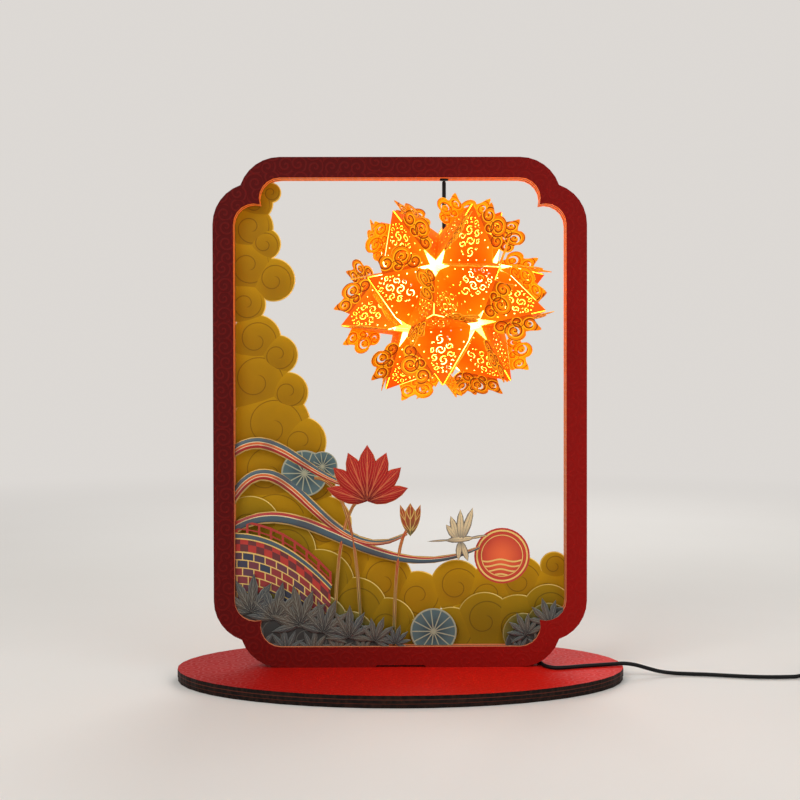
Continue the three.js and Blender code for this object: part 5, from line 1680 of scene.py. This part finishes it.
# %% [markdown]
# ## Thirty places
#
# The thirty places come from the twelve star openings, which look the way the corners of an icosahedron
# do. Two openings that are neighbours carry one sheet between them. All thirty objects share one mesh.

# %% Ball sheets in place
BALL_CENTRE = Vector((34.5, 0, 295)) * MM
BALL_TURN, BALL_LEAN = math.radians(-8.4), math.radians(-3.7)
NEIGHBOUR, NEARLY = 1 / math.sqrt(5), 0.01


def star_directions():
    """The twelve corners of an icosahedron, as directions."""
    ring_radius, ring_height = 2 / math.sqrt(5), 1 / math.sqrt(5)
    directions = [Vector((0, 0, 1)), Vector((0, 0, -1))]
    for i in range(5):
        angle = (i / 5 - 0.25) * TURN
        place = Vector((ring_radius * math.cos(angle), ring_radius * math.sin(angle), ring_height))
        directions += [place, -place]
    return directions


def sheet_places():
    """A matrix for every pair of neighbours: its fold between them, its back to the bulb."""
    stars = star_directions()
    for i, a in enumerate(stars):
        for b in stars[i + 1:]:
            if abs(a.dot(b) - NEIGHBOUR) < NEARLY:
                along, outward = (b - a).normalized(), (a + b).normalized()
                turned = Matrix((along, outward.cross(along), outward)).transposed().to_4x4()
                yield Matrix.Translation(outward * fold_radius * MM) @ turned


leaned, turned = Matrix.Rotation(BALL_LEAN, 4, "Y"), Matrix.Rotation(BALL_TURN, 4, "Z")
hung = Matrix.Translation(BALL_CENTRE) @ leaned @ turned
for number, sheet_place in enumerate(sheet_places(), 1):
    sheet = bpy.data.objects.new(f"ball_sheet_{number:02d}", ball_sheet)
    bpy.context.collection.objects.link(sheet)
    sheet.matrix_world = hung @ sheet_place
    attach(sheet, "paper_ball")
    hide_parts(f"ball_piece_{number:02d}")
print(number, "sheets round the bulb")

# %% [markdown]
# ## Moulding grain
#
# Moulds are spark-eroded, which leaves a fine even grain on plastic and rubber, and handling polishes it
# away in patches. Metal parts show the same two scales. One group gives both, and each material sets its
# own grain size and colours.

# %% Group: moulding grain
PATCHES_PER_GRAIN = 0.05

grain_group, place, grain = begin_group("moulding_grain", Place="vector", Grain="value")
fine = noise(place, grain, detail=3.0)
worn = soft_step(noise(place, grain * PATCHES_PER_GRAIN), 0.4, 0.75) * soft_step(fine, 0.3, 0.8)
end_group(grain_group, Height=fine, Worn=worn)

# %% [markdown]
# ## Bulb
#
# A small frosted globe is the bulb. It could be glass with a filament inside, but a filament can't be
# seen through frost. It is lit, so its material is mostly light: warm white round its waist, yellower
# towards its poles, and mottled by the frosting.

# %% Bulb
BULB_GLOW, FROST_GRAIN, FROST_DEPTH = 1.6, 1600.0, 0.00005

bulb_light, tree, shader = new_material("bulb_light", Roughness=0.35)
towards_pole = soft_step(abs(axes(object_normal(tree))[2]), 0.2, 1.0)
frost = place_group(grain_group, Place=object_place(tree), Grain=FROST_GRAIN)["Height"]
glow = mix(towards_pole, colour(255, 236, 190), colour(255, 214, 140))
glow = mix(frost * 0.3, glow, colour(255, 226, 168))
paint(shader, glow)
light_up(shader, glow, BULB_GLOW)
bump(shader, frost, FROST_DEPTH, 0.3)
dress(bulb_light, "bulb_globe")


# %% [markdown]
# ## Plastic, rubber and metal
#
# Lampholder, switch and plug are black plastic, the cable and the cord dull black rubber, the plug's shell
# steel and the bulb's cap brass. Their solids have the right shape and stay, so one function with a few
# values each is enough: two tones, a roughness, a grain and its depth.

# %% Moulded materials
def moulded(name, tint, worn, roughness, grain, depth, metallic=0.0, specular=0.5):
    """Plastic, rubber or metal, with its grain and its worn patches."""
    material, tree, shader = new_material(name, Metallic=metallic, Specular_IOR_Level=specular)
    grained = place_group(grain_group, Place=object_place(tree), Grain=grain)
    paint(shader, mix(grained["Worn"], tint, worn))
    fill(shader.inputs["Roughness"], mix_value(grained["Height"], roughness - 0.08, roughness + 0.1))
    bump(shader, grained["Height"], depth, 0.4)
    return material


black_plastic = moulded("holder_plastic", colour(26, 25, 24), colour(48, 46, 44), 0.42, 2600.0, 0.00008)
rubber = moulded("cord_rubber", colour(10, 10, 11), colour(24, 24, 24), 0.55, 1800.0, 0.0001, specular=0.15)
grey_plastic = moulded("button_grey", colour(62, 62, 64), colour(96, 96, 98), 0.38, 2400.0, 0.00008)
steel = moulded("shell_steel", colour(190, 192, 196), colour(224, 224, 224), 0.3, 1500.0, 0.00004, 1.0)
brass = moulded("worn_brass", colour(196, 158, 84), colour(230, 204, 140), 0.34, 1200.0, 0.00005, 1.0)
dress(black_plastic, "lampholder", "switch_body", "plug_grip")
dress(rubber, "hanging_cable", "internal_cable", "cable_grommet", "strain_relief", "cord_tie")
dress(grey_plastic, "switch_button")
dress(steel, "plug_shell")
dress(brass, "bulb_cap")
for cord in (lead, coil):
    cord.data.materials.append(rubber)
